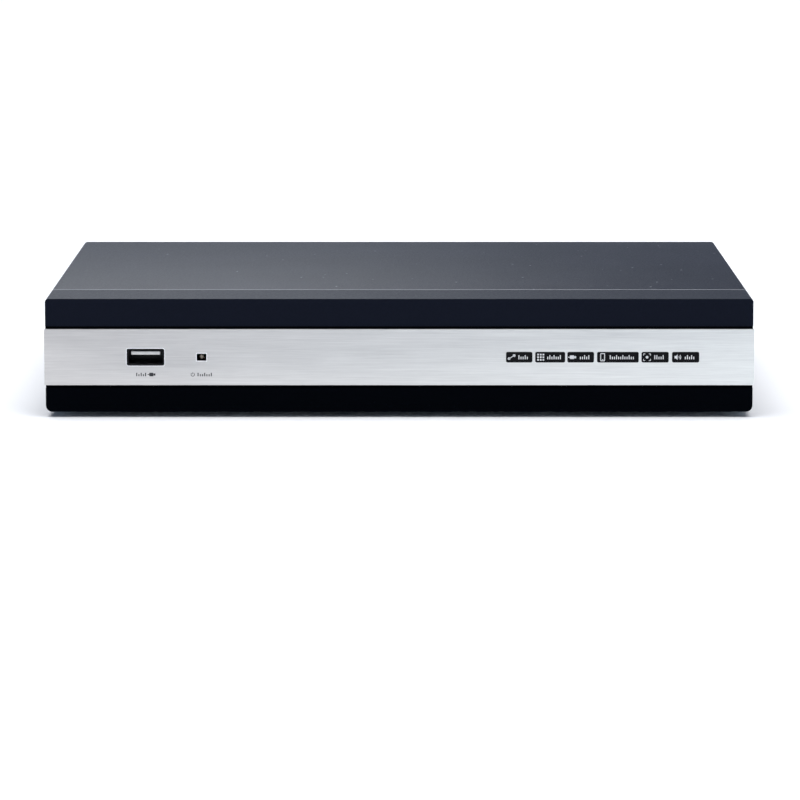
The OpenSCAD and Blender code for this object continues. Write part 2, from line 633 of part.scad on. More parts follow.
module vga_insert() color("royalblue") difference() {
    along_y(panel_y - 12, panel_y + 4.6) vga_shape(-0.55);
    for (row = [-1, 0, 1], i = [-2 : 2])
        rod_y([vga_x + i * 2.29 + (row == 0 ? -0.6 : 0.5), vga_z + row * 1.98], 0.5,
            panel_y - 1, panel_y + 6, 16);
}

module vga_jackscrews() color("silver") for (s = [-1, 1]) difference() {
    x = vga_x + s * vga_screw_span / 2;
    union() {
        rod_y([x, vga_z], 2.75, panel_y + 0.02, panel_y + 4, 6);
        rod_y([x, vga_z], 2.3, panel_y + 3.9, panel_y + 5.2, 40);
        rod_y([x, vga_z], 1.4, panel_y - 6, panel_y + 0.1, 32);
    }
    rod_y([x, vga_z], 1.2, panel_y - 0.5, panel_y + 6, 32);
}

module rs485_header() color("seagreen") difference() {
    slab(span(terminal_x, terminal_w / 2), [panel_y - 10, panel_y + 0.3], [board_top, rs485_top]);
    // one cavity for each wire, with a narrower neck near the top
    for (s = [-1, 1]) along_y(panel_y - 7, panel_y + 1) translate([terminal_x + s * terminal_pitch / 2, 0])
        polygon([[-1.7, 7], [1.7, 7], [1.7, 11.7], [1, 11.7], [1, 12.3], [1.7, 12.3], [1.7, 13],
            [-1.7, 13], [-1.7, 12.3], [-1, 12.3], [-1, 11.7], [-1.7, 11.7]]);
}

module rs485_pins() color("silver") for (s = [-1, 1])
    rod_y([terminal_x + s * terminal_pitch / 2, 9.1], 0.5, panel_y - 7, panel_y - 1, 16);

module dc_jack_body() color("black") difference() {
    slab(span(dc_x, dc_w / 2), [panel_y - 12, panel_y + 0.4], [board_top, dc_top]);
    rod_y([dc_x, dc_z], dc_hole_r, panel_y - 9, panel_y + 1, 64);
}

module dc_jack_pin() color("silver") turned([dc_x, dc_z],
    [[0, -9], [dc_pin_r, -9], [dc_pin_r, -1.4], [dc_pin_r - 0.5, -0.8], [0, -0.8]]);

module rear_screw() color("silver")
    translate([rear_screw_at[0], panel_y, rear_screw_at[1]]) rotate([-90, 0, 0]) difference() {
        union() {
            translate([0, 0, 0.02]) cylinder(r1 = 2.45, r2 = 1.9, h = 1.5, $fn = 40);
            translate([0, 0, -7]) cylinder(r = 1.25, h = 7.1, $fn = 32);
        }
        translate([0, 0, 0.7]) for (a = [0, 90]) rotate(a) translate([-1.4, -0.35, 0]) cube([2.8, 0.7, 1.5]);
    }

module processor() color("black") slab([9, 33], [34, 58], [board_top, board_top + 1.6]);

module heatsink() color("lightgray") {
    slab([3, 39], [28, 64], [board_top + 1.6, board_top + 3.6]);
    for (i = [0 : 8]) slab([3 + i * 4.325, 4.4 + i * 4.325], [28, 64], [board_top + 3.5, board_top + 15]);
}

module memory_chips() color("black") {
    for (y = [34, 50]) slab([-16, -6], [y, y + 13], [board_top, board_top + 1.1]);
    for (y = [24, 38]) slab([48, 56], [y, y + 11], [board_top, board_top + 1.1]);
}

module decoder_chips() color("black") for (i = [0 : 3])
    slab([62 + i * 14, 72 + i * 14], [52, 62], [board_top, board_top + 1]);

module capacitors() color("darkblue")
    for (p = [[-104, 66], [-93, 66], [-82, 66], [-40, 62], [-28, 62], [86, 26], [98, 26]])
    translate([p[0], p[1], board_top]) difference() {
        cylinder(r = 4, h = 11.5, $fn = 40);
        translate([0, 0, 1.2]) rotate_extrude($fn = 40) translate([4.1, 0]) circle(0.35, $fn = 14);
    }

module coin_cell() color("silver") translate([-50, 36, board_top + 1.6]) cylinder(r = 10, h = 3.2, $fn = 64);

module coin_cell_holder() color("black") translate([-50, 36, board_top]) difference() {
    cylinder(r = 12, h = 4, $fn = 64);
    translate([0, 0, 1.5]) cylinder(r = 10.2, h = 4, $fn = 64);
    translate([4, -3, 1.5]) cube([10, 6, 4]);
}

// ---- Hard drive, its long side along X, connectors at the -X end ----

module drive_casting() color("silver") difference() {
    slab([drive_x, drive_x + drive_l], [drive_y, drive_y + drive_w], [drive_z, lid_z]);
    // recess for the circuit board underneath
    slab([drive_x - 1, drive_x + drive_l - 12], span(drive_mid_y, drive_w / 2 - 8),
        [drive_z - 1, drive_z + 2.4]);
    // chamber for the platters and the head arm
    difference() {
        union() {
            translate([spindle[0], spindle[1], drive_floor])
                cylinder(r = platter_r + 0.9, h = drive_h, $fn = 96);
            slab([drive_x + 13, spindle[0] - 18], span(drive_mid_y, drive_w / 2 - 8),
                [drive_floor, drive_z + drive_h]);
        }
        for (p = [spindle, arm_pivot]) translate(p) {
            cylinder(r = pivot_r, h = lid_z - 1, $fn = 48);
            cylinder(r = 6, h = drive_floor + 0.6, $fn = 48);
        }
    }
    for (p = drive_holes) translate([p[0], p[1], drive_z - 1]) cylinder(r = 1.6, h = 5, $fn = 32);
    for (p = lid_holes) translate([p[0], p[1], lid_z - 5]) cylinder(r = lid_screw_r + 0.05, h = 6, $fn = 24);
    // seat of the combined connector
    slab([drive_x - 1, drive_x + 8], [drive_y + 24, drive_y + 62], [drive_z - 1, drive_z + 5.4]);
}

module drive_lid() color("gainsboro") difference() {
    slab([drive_x + 1, drive_x + drive_l - 1], [drive_y + 1, drive_y + drive_w - 1], [lid_z, lid_z + lid_t]);
    // pressed step round the platters
    translate([spindle[0], spindle[1], lid_z + lid_t - 0.5]) difference() {
        cylinder(r = 46, h = 2, $fn = 96);
        translate([0, 0, -1]) cylinder(r = 42, h = 4, $fn = 96);
    }
    for (p = lid_holes) translate([p[0], p[1], lid_z]) {
        translate([0, 0, lid_t - 0.6]) cylinder(r = 2.7, h = 2, $fn = 32);
        translate([0, 0, -1]) cylinder(r = lid_screw_r + 0.1, h = 3, $fn = 24);
    }
}

module drive_platters() color("silver") translate(spindle) difference() {
    union() {
        for (z = [12.5, 19.5]) translate([0, 0, z]) cylinder(r = platter_r, h = 1.3, $fn = 128);
        translate([0, 0, drive_floor + 0.8]) cylinder(r = 12.5, h = 14.6, $fn = 64);
        translate([0, 0, drive_floor + 13]) cylinder(r = 16, h = 1.2, $fn = 64);
    }
    cylinder(r = pivot_r + running, h = 40, $fn = 48);
}

module drive_head_arm() color("lightgray") translate(arm_pivot) rotate(arm_rest) difference() {
    union() {
        translate([0, 0, drive_floor + 0.8]) cylinder(r = 6.5, h = 14.6, $fn = 48);
        for (z = [10.6, 15.9, 22.2]) translate([0, 0, z]) linear_extrude(1)
            polygon([[0, -6], [12, -4.5], [49, -1.3], [49, 1.3], [12, 4.5], [0, 6]]);
        // coil of the arm's motor
        translate([0, 0, 15]) linear_extrude(3) difference() {
            polygon([[0, -5], [-12, -8], [-20, -10], [-22, 0], [-20, 10], [-12, 8], [0, 5]]);
            polygon([[-11, -4], [-17, -6], [-18.5, 0], [-17, 6], [-11, 4]]);
        }
    }
    cylinder(r = pivot_r + running, h = 40, $fn = 48);
}

module drive_board() color("darkgreen")
    slab([drive_x + 9, drive_x + drive_l - 30], span(drive_mid_y, drive_w / 2 - 12),
        [drive_z + 0.6, drive_z + 2]);

module drive_connector() color("black") difference() {
    slab([drive_x, drive_x + 7.8], [drive_y + 24.2, drive_y + 61.8], [drive_z + 0.4, drive_z + 5.2]);
    for (y = [[25.5, 45.5], [48, 60.5]]) slab([drive_x - 1, drive_x + 5], [drive_y + y[0], drive_y + y[1]],
        [drive_z + 1.2, drive_z + 4.4]);
}

// The four screws that hold the drive from below, and the six in its lid.
module drive_screws() color("silver") {
    for (p = drive_holes) translate([p[0], p[1], 0]) difference() {
        union() {
            translate([0, 0, 0.4]) cylinder(r1 = 3, r2 = 3.4, h = 1.58, $fn = 40);
            translate([0, 0, 1.9]) cylinder(r = 1.55, h = 4.5, $fn = 32);
        }
        translate([0, 0, 0.3]) for (a = [0, 90]) rotate(a) translate([-1.7, -0.4, 0]) cube([3.4, 0.8, 0.9]);
    }
    for (p = lid_holes) translate([p[0], p[1], lid_z + lid_t - 0.58]) difference() {
        union() {
            cylinder(r = 2.4, h = 0.5, $fn = 40);
            translate([0, 0, -4]) cylinder(r = lid_screw_r, h = 4.1, $fn = 24);
        }
        translate([0, 0, -0.6]) cylinder(r = 0.9, h = 2, $fn = 6);
    }
}

module cable_sockets() color("black") {
    slab([-84, -76], [15, 29], [board_top, board_top + 6]);
    slab([-106, -94], [21.5, 28.5], [board_top, board_top + 6]);
    slab([-118, -108], [21, 26], [board_top, board_top + 5]);
}

module cable_plugs() color("darkred") {
    slab([-83, -77], [16, 28], [board_top + 6.05, 25]);
    slab([-105, -95], [22.2, 27.8], [board_top + 6.05, 19]);
    slab([-117, -109], [21.5, 25.5], [board_top + 5.05, 15]);
    slab([-50, drive_x - 0.05], [-52.2, -39.4], [drive_z + 0.2, drive_z + 5.4]);
    slab([-52, drive_x - 0.05], [-75, -54], [drive_z + 0.2, drive_z + 5.4]);
    slab([-98, -92], [-86, -84], [front_board_z + board_t, 20]);
}

module sata_cable() color("crimson") tube(sata_route, 2);

module drive_power_cable() color("goldenrod") tube(power_route, 2);

raised() base_chassis();
raised() top_cover();
raised() cover_screws();
raised() front_bezel();
raised() trim_plate();
raised() rubber_feet();
raised() front_usb_shell();
raised() front_usb_tongue();
raised() power_led();
raised() front_board();
raised() front_cable();
raised() mainboard();
raised() standoffs();
raised() board_screws();
raised() bnc_shells();
raised() bnc_insulators();
raised() bnc_contacts();
raised() bnc_housings();
raised() audio_out_shell();
raised() audio_in_shells();
raised() audio_in_bases();
raised() audio_out_insert();
raised() audio_white_insert();
raised() audio_red_insert();
raised() audio_contacts();
raised() audio_blocks();
raised() hd_port_shell();
raised() hd_port_tongue();
raised() lan_usb_shell();
raised() lan_usb_insert();
raised() lan_contacts();
raised() usb_tongues();
raised() lan_led_yellow();
raised() lan_led_green();
raised() vga_shell();
raised() vga_insert();
raised() vga_jackscrews();
raised() rs485_header();
raised() rs485_pins();
raised() dc_jack_body();
raised() dc_jack_pin();
raised() rear_screw();
raised() processor();
raised() heatsink();
raised() memory_chips();
raised() decoder_chips();
raised() capacitors();
raised() coin_cell();
raised() coin_cell_holder();
raised() drive_casting();
raised() drive_lid();
raised() drive_platters();
raised() drive_head_arm();
raised() drive_board();
raised() drive_connector();
raised() drive_screws();
raised() cable_sockets();
raised() cable_plugs();
raised() sata_cable();
raised() drive_power_cable();
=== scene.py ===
"""Looks of the compact video recorder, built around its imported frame.

Case, connectors and boards keep their frame shapes, with rounded edges. The printed marks, the badges and the
small parts on the boards are made here. Lengths are metres; MM turns millimetres into metres.
"""
import json
import math
import random

import bmesh
import bpy
from mathutils import Matrix, Vector


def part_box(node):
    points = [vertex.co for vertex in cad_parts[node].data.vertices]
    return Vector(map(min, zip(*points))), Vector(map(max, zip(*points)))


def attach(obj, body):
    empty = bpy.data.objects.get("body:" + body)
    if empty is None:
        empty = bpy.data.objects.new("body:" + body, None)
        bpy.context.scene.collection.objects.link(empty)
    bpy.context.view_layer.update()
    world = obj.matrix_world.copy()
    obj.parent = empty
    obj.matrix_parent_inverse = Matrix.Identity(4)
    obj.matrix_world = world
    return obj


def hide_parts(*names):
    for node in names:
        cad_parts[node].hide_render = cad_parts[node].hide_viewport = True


MM = 0.001
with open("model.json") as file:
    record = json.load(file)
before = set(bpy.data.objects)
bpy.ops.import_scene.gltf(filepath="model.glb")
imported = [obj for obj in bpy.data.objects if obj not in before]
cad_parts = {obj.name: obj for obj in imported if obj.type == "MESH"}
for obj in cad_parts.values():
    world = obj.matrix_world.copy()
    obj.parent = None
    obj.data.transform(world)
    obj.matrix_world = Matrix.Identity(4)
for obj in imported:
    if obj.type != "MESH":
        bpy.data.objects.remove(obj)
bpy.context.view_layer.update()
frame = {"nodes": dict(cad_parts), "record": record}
rng = random.Random(7)
SLOTS = {part["node"]: part["material_slot"] for part in frame["record"]["subparts"]}
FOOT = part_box("base_chassis")[0].z / MM  # height of the tray's underside above the floor


# ---- Camera, lights and floor ----

def add_camera():
    """A long lens in front of the recorder and a little above it, tilted down."""
    side, distance, height = 0.0003, 1.7084, 0.2245
    tilt = 7.766
    data = bpy.data.cameras.new("camera")
    data.lens = 201.4
    data.sensor_width = 36
    data.clip_start = 0.05
    data.clip_end = 20
    camera = bpy.data.objects.new("camera", data)
    camera.location = (side, -distance, height)
    camera.rotation_euler = (math.radians(90 - tilt), 0, 0)
    bpy.context.collection.objects.link(camera)
    bpy.context.scene.camera = camera


def add_light(name, place, target, size, watts, colour=(1, 1, 1)):
    """A soft box of a width and height, at place and turned to target."""
    data = bpy.data.lights.new(name, "AREA")
    data.shape = "RECTANGLE"
    data.size, data.size_y = size
    data.energy = watts
    data.color = colour
    light = bpy.data.objects.new(name, data)
    light.location = place
    light.rotation_euler = (Vector(target) - Vector(place)).to_track_quat("-Z", "Y").to_euler()
    bpy.context.collection.objects.link(light)


def add_sky():
    """A dim blue sky that is white only along the horizon."""
    world = bpy.data.worlds.new("studio")
    world.use_nodes = True
    tree = world.node_tree
    place = tree.nodes.new("ShaderNodeTexCoord")
    split = tree.nodes.new("ShaderNodeSeparateXYZ")
    shade = tree.nodes.new("ShaderNodeValToRGB")
    horizon, above = shade.color_ramp.elements
    horizon.position = 0.0
    horizon.color = (1.0, 1.0, 1.0, 1)
    above.position = 0.06
    above.color = (0.068, 0.10, 0.175, 1)
    tree.links.new(place.outputs["Generated"], split.inputs["Vector"])
    tree.links.new(split.outputs["Z"], shade.inputs["Fac"])
    tree.links.new(shade.outputs["Color"], tree.nodes["Background"].inputs["Color"])
    bpy.context.scene.world = world


def add_studio():
    """White floor under a wide overhead light, with soft boxes in front, behind and at the rear left."""
    bpy.context.scene.view_settings.view_transform = "Standard"
    add_sky()
    data = bpy.data.lights.new("overhead", "SUN")
    data.energy = 3.3
    data.angle = math.radians(70)
    overhead = bpy.data.objects.new("overhead", data)
    overhead.rotation_euler = (math.radians(6), 0, 0)
    bpy.context.collection.objects.link(overhead)
    add_light("front_box", (1.0, -1.5, 1.1), (0, 0, 0.02), (1.2, 0.7), 6)
    add_light("rear_box", (-0.5, 1.55, 1.15), (0, 0, 0.02), (1.2, 0.6), 7, (0.93, 0.965, 1.0))
    add_light("left_box", (-1.5, 1.5, 0.42), (-0.08, 0, 0.04), (1.1, 0.5), 0.4, (0.85, 0.9, 1.0))
    floor = bpy.data.meshes.new("floor")
    reach = 9
    corners = [(-reach, -reach, 0), (reach, -reach, 0), (reach, reach, 0), (-reach, reach, 0)]
    floor.from_pydata(corners, [], [(0, 1, 2, 3)])
    stage = bpy.data.objects.new("floor", floor)
    bpy.context.collection.objects.link(stage)
    stage.data.materials.append(plain("floor_white", (0.95, 0.95, 0.95), 0.95))


# ---- Materials ----

def new_material(name):
    """A material with its node tree, its shader and a function that adds a node."""
    material = bpy.data.materials.new(name)
    material.use_nodes = True
    tree = material.node_tree
    shader = tree.nodes["Principled BSDF"]

    def add(kind, **settings):
        node = tree.nodes.new(kind)
        for key, value in settings.items():
            if key in node.inputs:
                node.inputs[key].default_value = value
            else:
                setattr(node, key, value)
        return node

    return material, tree, shader, add


def plain(name, colour, roughness, metallic=0.0):
    material, _, shader, _ = new_material(name)
    shader.inputs["Base Color"].default_value = (*colour, 1)
    shader.inputs["Roughness"].default_value = roughness
    shader.inputs["Metallic"].default_value = metallic
    return material


def noise(add, tree, scale, detail=2.0, stretch=(1, 1, 1), roughness=0.5):
    """Noise in object space; stretch squeezes it along each axis."""
    place = add("ShaderNodeTexCoord")
    mapping = add("ShaderNodeMapping")
    mapping.inputs["Scale"].default_value = stretch
    texture = add("ShaderNodeTexNoise", Scale=scale, Detail=detail, Roughness=roughness)
    tree.links.new(place.outputs["Object"], mapping.inputs["Vector"])
    tree.links.new(mapping.outputs["Vector"], texture.inputs["Vector"])
    return texture.outputs["Fac"]


def ramp(add, tree, source, low, high, start=0.0, end=1.0):
    """Turns a 0 to 1 value into a colour or a grey between low and high."""
    node = add("ShaderNodeValToRGB")
    for stop, place, value in ((0, start, low), (1, end, high)):
        colour = value if isinstance(value, tuple) else (value, value, value)
        node.color_ramp.elements[stop].position = place
        node.color_ramp.elements[stop].color = (*colour, 1)
    tree.links.new(source, node.inputs["Fac"])
    return node.outputs["Color"]


def bump(add, tree, shader, source, strength, distance):
    node = add("ShaderNodeBump", Strength=strength, Distance=distance)
    tree.links.new(source, node.inputs["Height"])
    tree.links.new(node.outputs["Normal"], shader.inputs["Normal"])


def mixed(add, tree, first, second, share):
    """A blend of two grey values."""
    node = add("ShaderNodeMix", data_type="FLOAT")
    node.inputs["Factor"].default_value = share
    tree.links.new(first, node.inputs["A"])
    tree.links.new(second, node.inputs["B"])
    return node.outputs["Result"]


def surface(name, dark, light, rough=(0.4, 0.5), metallic=0.0, scale=400, stretch=(1, 1, 1), relief=0.0,
            relief_scale=3000, coat=0.0, gloss=0.5):
    """A coloured surface that varies softly between two colours, with grain in its gloss and its relief."""
    material, tree, shader, add = new_material(name)
    shader.inputs["Metallic"].default_value = metallic
    shader.inputs["Coat Weight"].default_value = coat
    shader.inputs["Specular IOR Level"].default_value = gloss
    soft = noise(add, tree, scale, 4, stretch)
    tree.links.new(ramp(add, tree, soft, dark, light, 0.3, 0.7), shader.inputs["Base Color"])
    tree.links.new(ramp(add, tree, soft, rough[0], rough[1], 0.3, 0.7), shader.inputs["Roughness"])
    if relief:
        bump(add, tree, shader, noise(add, tree, relief_scale, 3, stretch), relief, 0.0002)
    return material


def brushed(name, dark, light, rough=(0.28, 0.42), along="X", painted_shade_tint=None):
    """Metal with long fine scratches along one axis; tint holds the tones of its two ends along X, a painted
    shade that darkens one end.
    """
    material, tree, shader, add = new_material(name)
    shader.inputs["Metallic"].default_value = 1.0
    squeeze = 0.025
    stretch = {"X": (squeeze, 1, 1), "Y": (1, squeeze, 1)}[along]
    fine = noise(add, tree, 3400, 4, stretch, 0.7)
    broad = noise(add, tree, 1300, 2, stretch)
    streaks = mixed(add, tree, fine, broad, 0.35)
    colour = ramp(add, tree, streaks, dark, light, 0.31, 0.69)
    # painted shade: the colour is multiplied darker towards one end along X
    if painted_shade_tint:
        half_width = 0.13
        place = add("ShaderNodeTexCoord")
        split = add("ShaderNodeSeparateXYZ")
        span = add("ShaderNodeMapRange")
        tree.links.new(place.outputs["Object"], split.inputs["Vector"])
        tree.links.new(split.outputs["X"], span.inputs["Value"])
        span.inputs["From Min"].default_value = -half_width
        span.inputs["From Max"].default_value = half_width
        painted_shade_mix = add("ShaderNodeMix", data_type="RGBA", blend_type="MULTIPLY")
        painted_shade_mix.inputs["Factor"].default_value = 1.0
        tree.links.new(colour, painted_shade_mix.inputs["A"])
        tree.links.new(ramp(add, tree, span.outputs["Result"], *painted_shade_tint), painted_shade_mix.inputs["B"])
        colour = painted_shade_mix.outputs["Result"]
    tree.links.new(colour, shader.inputs["Base Color"])
    tree.links.new(ramp(add, tree, streaks, rough[1], rough[0], 0.3, 0.7), shader.inputs["Roughness"])
    bump(add, tree, shader, streaks, 0.05, 0.0001)
    return material


def powder_coat():
    """Dark slate powder coat: fine orange peel, soft cloudiness and a few specks of dust."""
    dust_colour = (0.5, 0.52, 0.55, 1)
    material, tree, shader, add = new_material("cover_paint")
    shader.inputs["Specular IOR Level"].default_value = 0.38
    clouds = noise(add, tree, 26, 4, (1, 1, 1), 0.6)
    base = ramp(add, tree, clouds, (0.011, 0.0125, 0.018), (0.018, 0.020, 0.028), 0.3, 0.7)
    place = add("ShaderNodeTexCoord")
    cells = add("ShaderNodeTexVoronoi", Scale=150.0, Randomness=1.0)
    tree.links.new(place.outputs["Object"], cells.inputs["Vector"])
    dust = ramp(add, tree, cells.outputs["Distance"], 1.0, 0.0, 0.045, 0.07)
    sparse = ramp(add, tree, noise(add, tree, 75, 1), 0.0, 1.0, 0.50, 0.56)
    both = add("ShaderNodeMath", operation="MULTIPLY")
    tree.links.new(dust, both.inputs[0])
    tree.links.new(sparse, both.inputs[1])
    paint = add("ShaderNodeMix", data_type="RGBA")
    tree.links.new(both.outputs[0], paint.inputs["Factor"])
    tree.links.new(base, paint.inputs["A"])
    paint.inputs["B"].default_value = dust_colour
    tree.links.new(paint.outputs["Result"], shader.inputs["Base Color"])
    peel = noise(add, tree, 1400, 4)
    tree.links.new(ramp(add, tree, peel, 0.40, 0.50, 0.3, 0.7), shader.inputs["Roughness"])
    bump(add, tree, shader, peel, 0.42, 0.0002)
    return material


# dark and light tone, roughness from and to, and what else surface() is told
SURFACES = {
    # case, bezel and trim
    "tray_steel": ((0.50, 0.555, 0.585), (0.54, 0.595, 0.625), (0.34, 0.44),
                   {"metallic": 0.2, "scale": 60, "relief": 0.05}),
    "bezel_plastic": ((0.0036, 0.0056, 0.0125), (0.0046, 0.0068, 0.0150), (0.42, 0.52),
                      {"scale": 1200, "relief": 0.12, "relief_scale": 3200, "gloss": 0.06}),
    "bezel_shade": ((0.0005, 0.0010, 0.0021), (0.0008, 0.0014, 0.0028), (0.55, 0.65),
                    {"scale": 1200, "relief": 0.12, "relief_scale": 3200, "gloss": 0.012}),
    # painted shade: a darker, duller copy of the cover's powder coat for the faces of its rear flange
    "flange_painted_shade": ((0.0045, 0.005, 0.007), (0.007, 0.0075, 0.010), (0.45, 0.55),
                     {"scale": 300, "relief": 0.2, "relief_scale": 1700, "gloss": 0.15}),
    # painted light: a lighter, glossier copy of the bezel's plastic for its upward faces
    "bezel_top_painted_light": ((0.012, 0.0135, 0.018), (0.016, 0.018, 0.024), (0.42, 0.52),
                  {"scale": 1200, "relief": 0.25, "relief_scale": 2400, "gloss": 0.36}),
    # painted highlight: near-white silver for thin rims round the openings in the trim
    "rim_painted_highlight": ((0.93, 0.94, 0.95), (0.96, 0.97, 0.98), (0.25, 0.35), {}),
    "rubber": ((0.012, 0.012, 0.012), (0.02, 0.02, 0.02), (0.7, 0.85), {"relief": 0.2}),
    # connectors and screws
    "nickel": ((0.50, 0.46, 0.39), (0.58, 0.535, 0.455), (0.18, 0.26), {"metallic": 1.0, "scale": 150}),
    "zinc_screw": ((0.58, 0.58, 0.57), (0.72, 0.72, 0.70), (0.22, 0.32), {"metallic": 1.0}),
    # painted shade: nearly black nickel for the inside of a port shell and a screw's recess
    "dark_nickel": ((0.012, 0.012, 0.013), (0.02, 0.02, 0.022), (0.3, 0.4), {"metallic": 0.6}),
    "shaded_nickel": ((0.26, 0.21, 0.155), (0.35, 0.285, 0.21), (0.28, 0.38), {"metallic": 1.0}),
    # painted shade: black for the floors and walls of hollows
    "hollow_painted_shade": ((0.002, 0.002, 0.0025), (0.003, 0.003, 0.0035), (0.5, 0.6), {"gloss": 0.12}),
    "steel_nut": ((0.33, 0.325, 0.31), (0.42, 0.415, 0.40), (0.10, 0.16), {"metallic": 1.0}),
    "socket_black": ((0.009, 0.0095, 0.011), (0.013, 0.0135, 0.015), (0.4, 0.5), {"gloss": 0.15}),
    "socket_grey": ((0.075, 0.075, 0.077), (0.10, 0.10, 0.102), (0.4, 0.5), {"gloss": 0.3}),
    # bright steel for the cover's rolled front edge: partly its bare cut edge, partly painted highlight
    "cut_steel_highlight": ((0.36, 0.37, 0.39), (0.46, 0.47, 0.49), (0.35, 0.5), {}),
    "gold_contact": ((0.20, 0.14, 0.045), (0.28, 0.20, 0.07), (0.2, 0.3), {"metallic": 1.0}),
    "dielectric": ((0.40, 0.385, 0.36), (0.46, 0.44, 0.41), (0.45, 0.55), {}),
    "black_plastic": ((0.006, 0.006, 0.007), (0.012, 0.012, 0.013), (0.35, 0.5),
                      {"relief": 0.1, "gloss": 0.35}),
    "white_plastic": ((0.72, 0.72, 0.70), (0.8, 0.8, 0.78), (0.3, 0.4), {}),
    "red_plastic": ((0.50, 0.008, 0.03), (0.58, 0.012, 0.04), (0.3, 0.4), {}),
    "crimson_plastic": ((0.17, 0.008, 0.014), (0.23, 0.01, 0.018), (0.28, 0.4), {}),
    "grey_plastic": ((0.10, 0.10, 0.10), (0.16, 0.16, 0.16), (0.3, 0.4), {}),
    "blue_plastic": ((0.010, 0.125, 0.34), (0.014, 0.15, 0.40), (0.4, 0.5), {}),
    "green_plastic": ((0.068, 0.195, 0.095), (0.088, 0.225, 0.12), (0.35, 0.45), {}),
    "led_lens": ((0.34, 0.30, 0.23), (0.42, 0.37, 0.29), (0.15, 0.2), {}),
    "yellow_lens": ((0.38, 0.32, 0.02), (0.48, 0.40, 0.03), (0.2, 0.3), {}),
    "green_lens": ((0.018, 0.15, 0.05), (0.025, 0.2, 0.07), (0.2, 0.3), {}),
    # boards, chips, drive and cables
    "circuit_board": ((0.004, 0.07, 0.028), (0.008, 0.11, 0.045), (0.25, 0.35), {"coat": 0.4}),
    "chip_resin": ((0.012, 0.012, 0.013), (0.02, 0.02, 0.021), (0.5, 0.65), {"relief": 0.2}),
    "capacitor_sleeve": ((0.01, 0.012, 0.03), (0.014, 0.016, 0.04), (0.25, 0.35), {}),
    "brass_post": ((0.55, 0.40, 0.15), (0.68, 0.5, 0.2), (0.25, 0.35), {"metallic": 1.0}),
    "cast_alloy": ((0.30, 0.31, 0.32), (0.38, 0.39, 0.40), (0.5, 0.65),
                   {"metallic": 0.8, "relief": 0.4, "relief_scale": 1500}),
    "disc_mirror": ((0.80, 0.81, 0.83), (0.83, 0.84, 0.86), (0.02, 0.03), {"metallic": 1.0}),
    "cable_red": ((0.35, 0.008, 0.008), (0.45, 0.012, 0.012), (0.4, 0.5), {}),
    "cable_yellow": ((0.45, 0.32, 0.015), (0.55, 0.40, 0.02), (0.4, 0.5), {}),
    "cable_grey": ((0.22, 0.22, 0.23), (0.3, 0.3, 0.31), (0.4, 0.5), {}),
    # prints, labels and small parts
    "badge_black": ((0.003, 0.003, 0.004), (0.005, 0.005, 0.006), (0.4, 0.5), {"gloss": 0.1}),
    "label_paper": ((0.70, 0.70, 0.68), (0.76, 0.76, 0.74), (0.5, 0.6), {"gloss": 0.3}),
    "board_trace": ((0.012, 0.15, 0.06), (0.018, 0.2, 0.085), (0.25, 0.35), {"coat": 0.4}),
    "ceramic_tan": ((0.24, 0.17, 0.10), (0.32, 0.24, 0.15), (0.4, 0.5), {}),
    "solder": ((0.6, 0.6, 0.6), (0.72, 0.72, 0.72), (0.25, 0.4), {"metallic": 1.0}),
    "sign_white": ((0.66, 0.67, 0.68), (0.74, 0.75, 0.76), (0.45, 0.55), {"gloss": 0.3}),
    "ink_grey": ((0.03, 0.03, 0.033), (0.05, 0.05, 0.054), (0.5, 0.6), {"gloss": 0.3}),
    "ink_black": ((0.006, 0.0065, 0.008), (0.010, 0.0105, 0.013), (0.5, 0.6), {"gloss": 0.12}),
}


def make_materials():
    """One material per slot of the record, under the slot's name, and a few finishes of prints and badges."""
    made = {name: surface(name, dark, light, rough, **more)
            for name, (dark, light, rough, more) in SURFACES.items()}
    made["cover_paint"] = powder_coat()
    # the trim's left end is painted darker, as painted shade
    made["trim_aluminium"] = brushed("trim_aluminium", (0.65, 0.67, 0.665), (0.77, 0.795, 0.785),
                                     painted_shade_tint=((0.81, 0.77, 0.765), (1.0, 1.0, 1.0)))
    made["anodised"] = brushed("anodised", (0.48, 0.49, 0.51), (0.62, 0.63, 0.65), along="Y")
    made["drive_steel"] = brushed("drive_steel", (0.30, 0.31, 0.32), (0.38, 0.39, 0.40), (0.42, 0.52))
    return made


# ---- Shapes ----

def new_piece(name, mesh, material, body="case"):
    piece = bpy.data.objects.new(name, mesh)
    bpy.context.collection.objects.link(piece)
    mesh.materials.clear()
    mesh.materials.append(material)
    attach(piece, body)
    return piece


def smooth(mesh, degrees=30):
    for face in mesh.polygons:
        face.use_smooth = True
    mesh.set_sharp_from_angle(angle=math.radians(degrees))


def welded(mesh):
    """The mesh as a bmesh whose faces share their corners."""
    edit = bmesh.new()
    edit.from_mesh(mesh)
    bmesh.ops.remove_doubles(edit, verts=edit.verts, dist=1e-6)
    return edit


def shown_area(edit):
    """The area that its triangles cover; it drops where a face with holes is drawn wrongly."""
    return sum(((b.vert.co - a.vert.co).cross(c.vert.co - a.vert.co)).length / 2
               for a, b, c in edit.calc_loop_triangles())


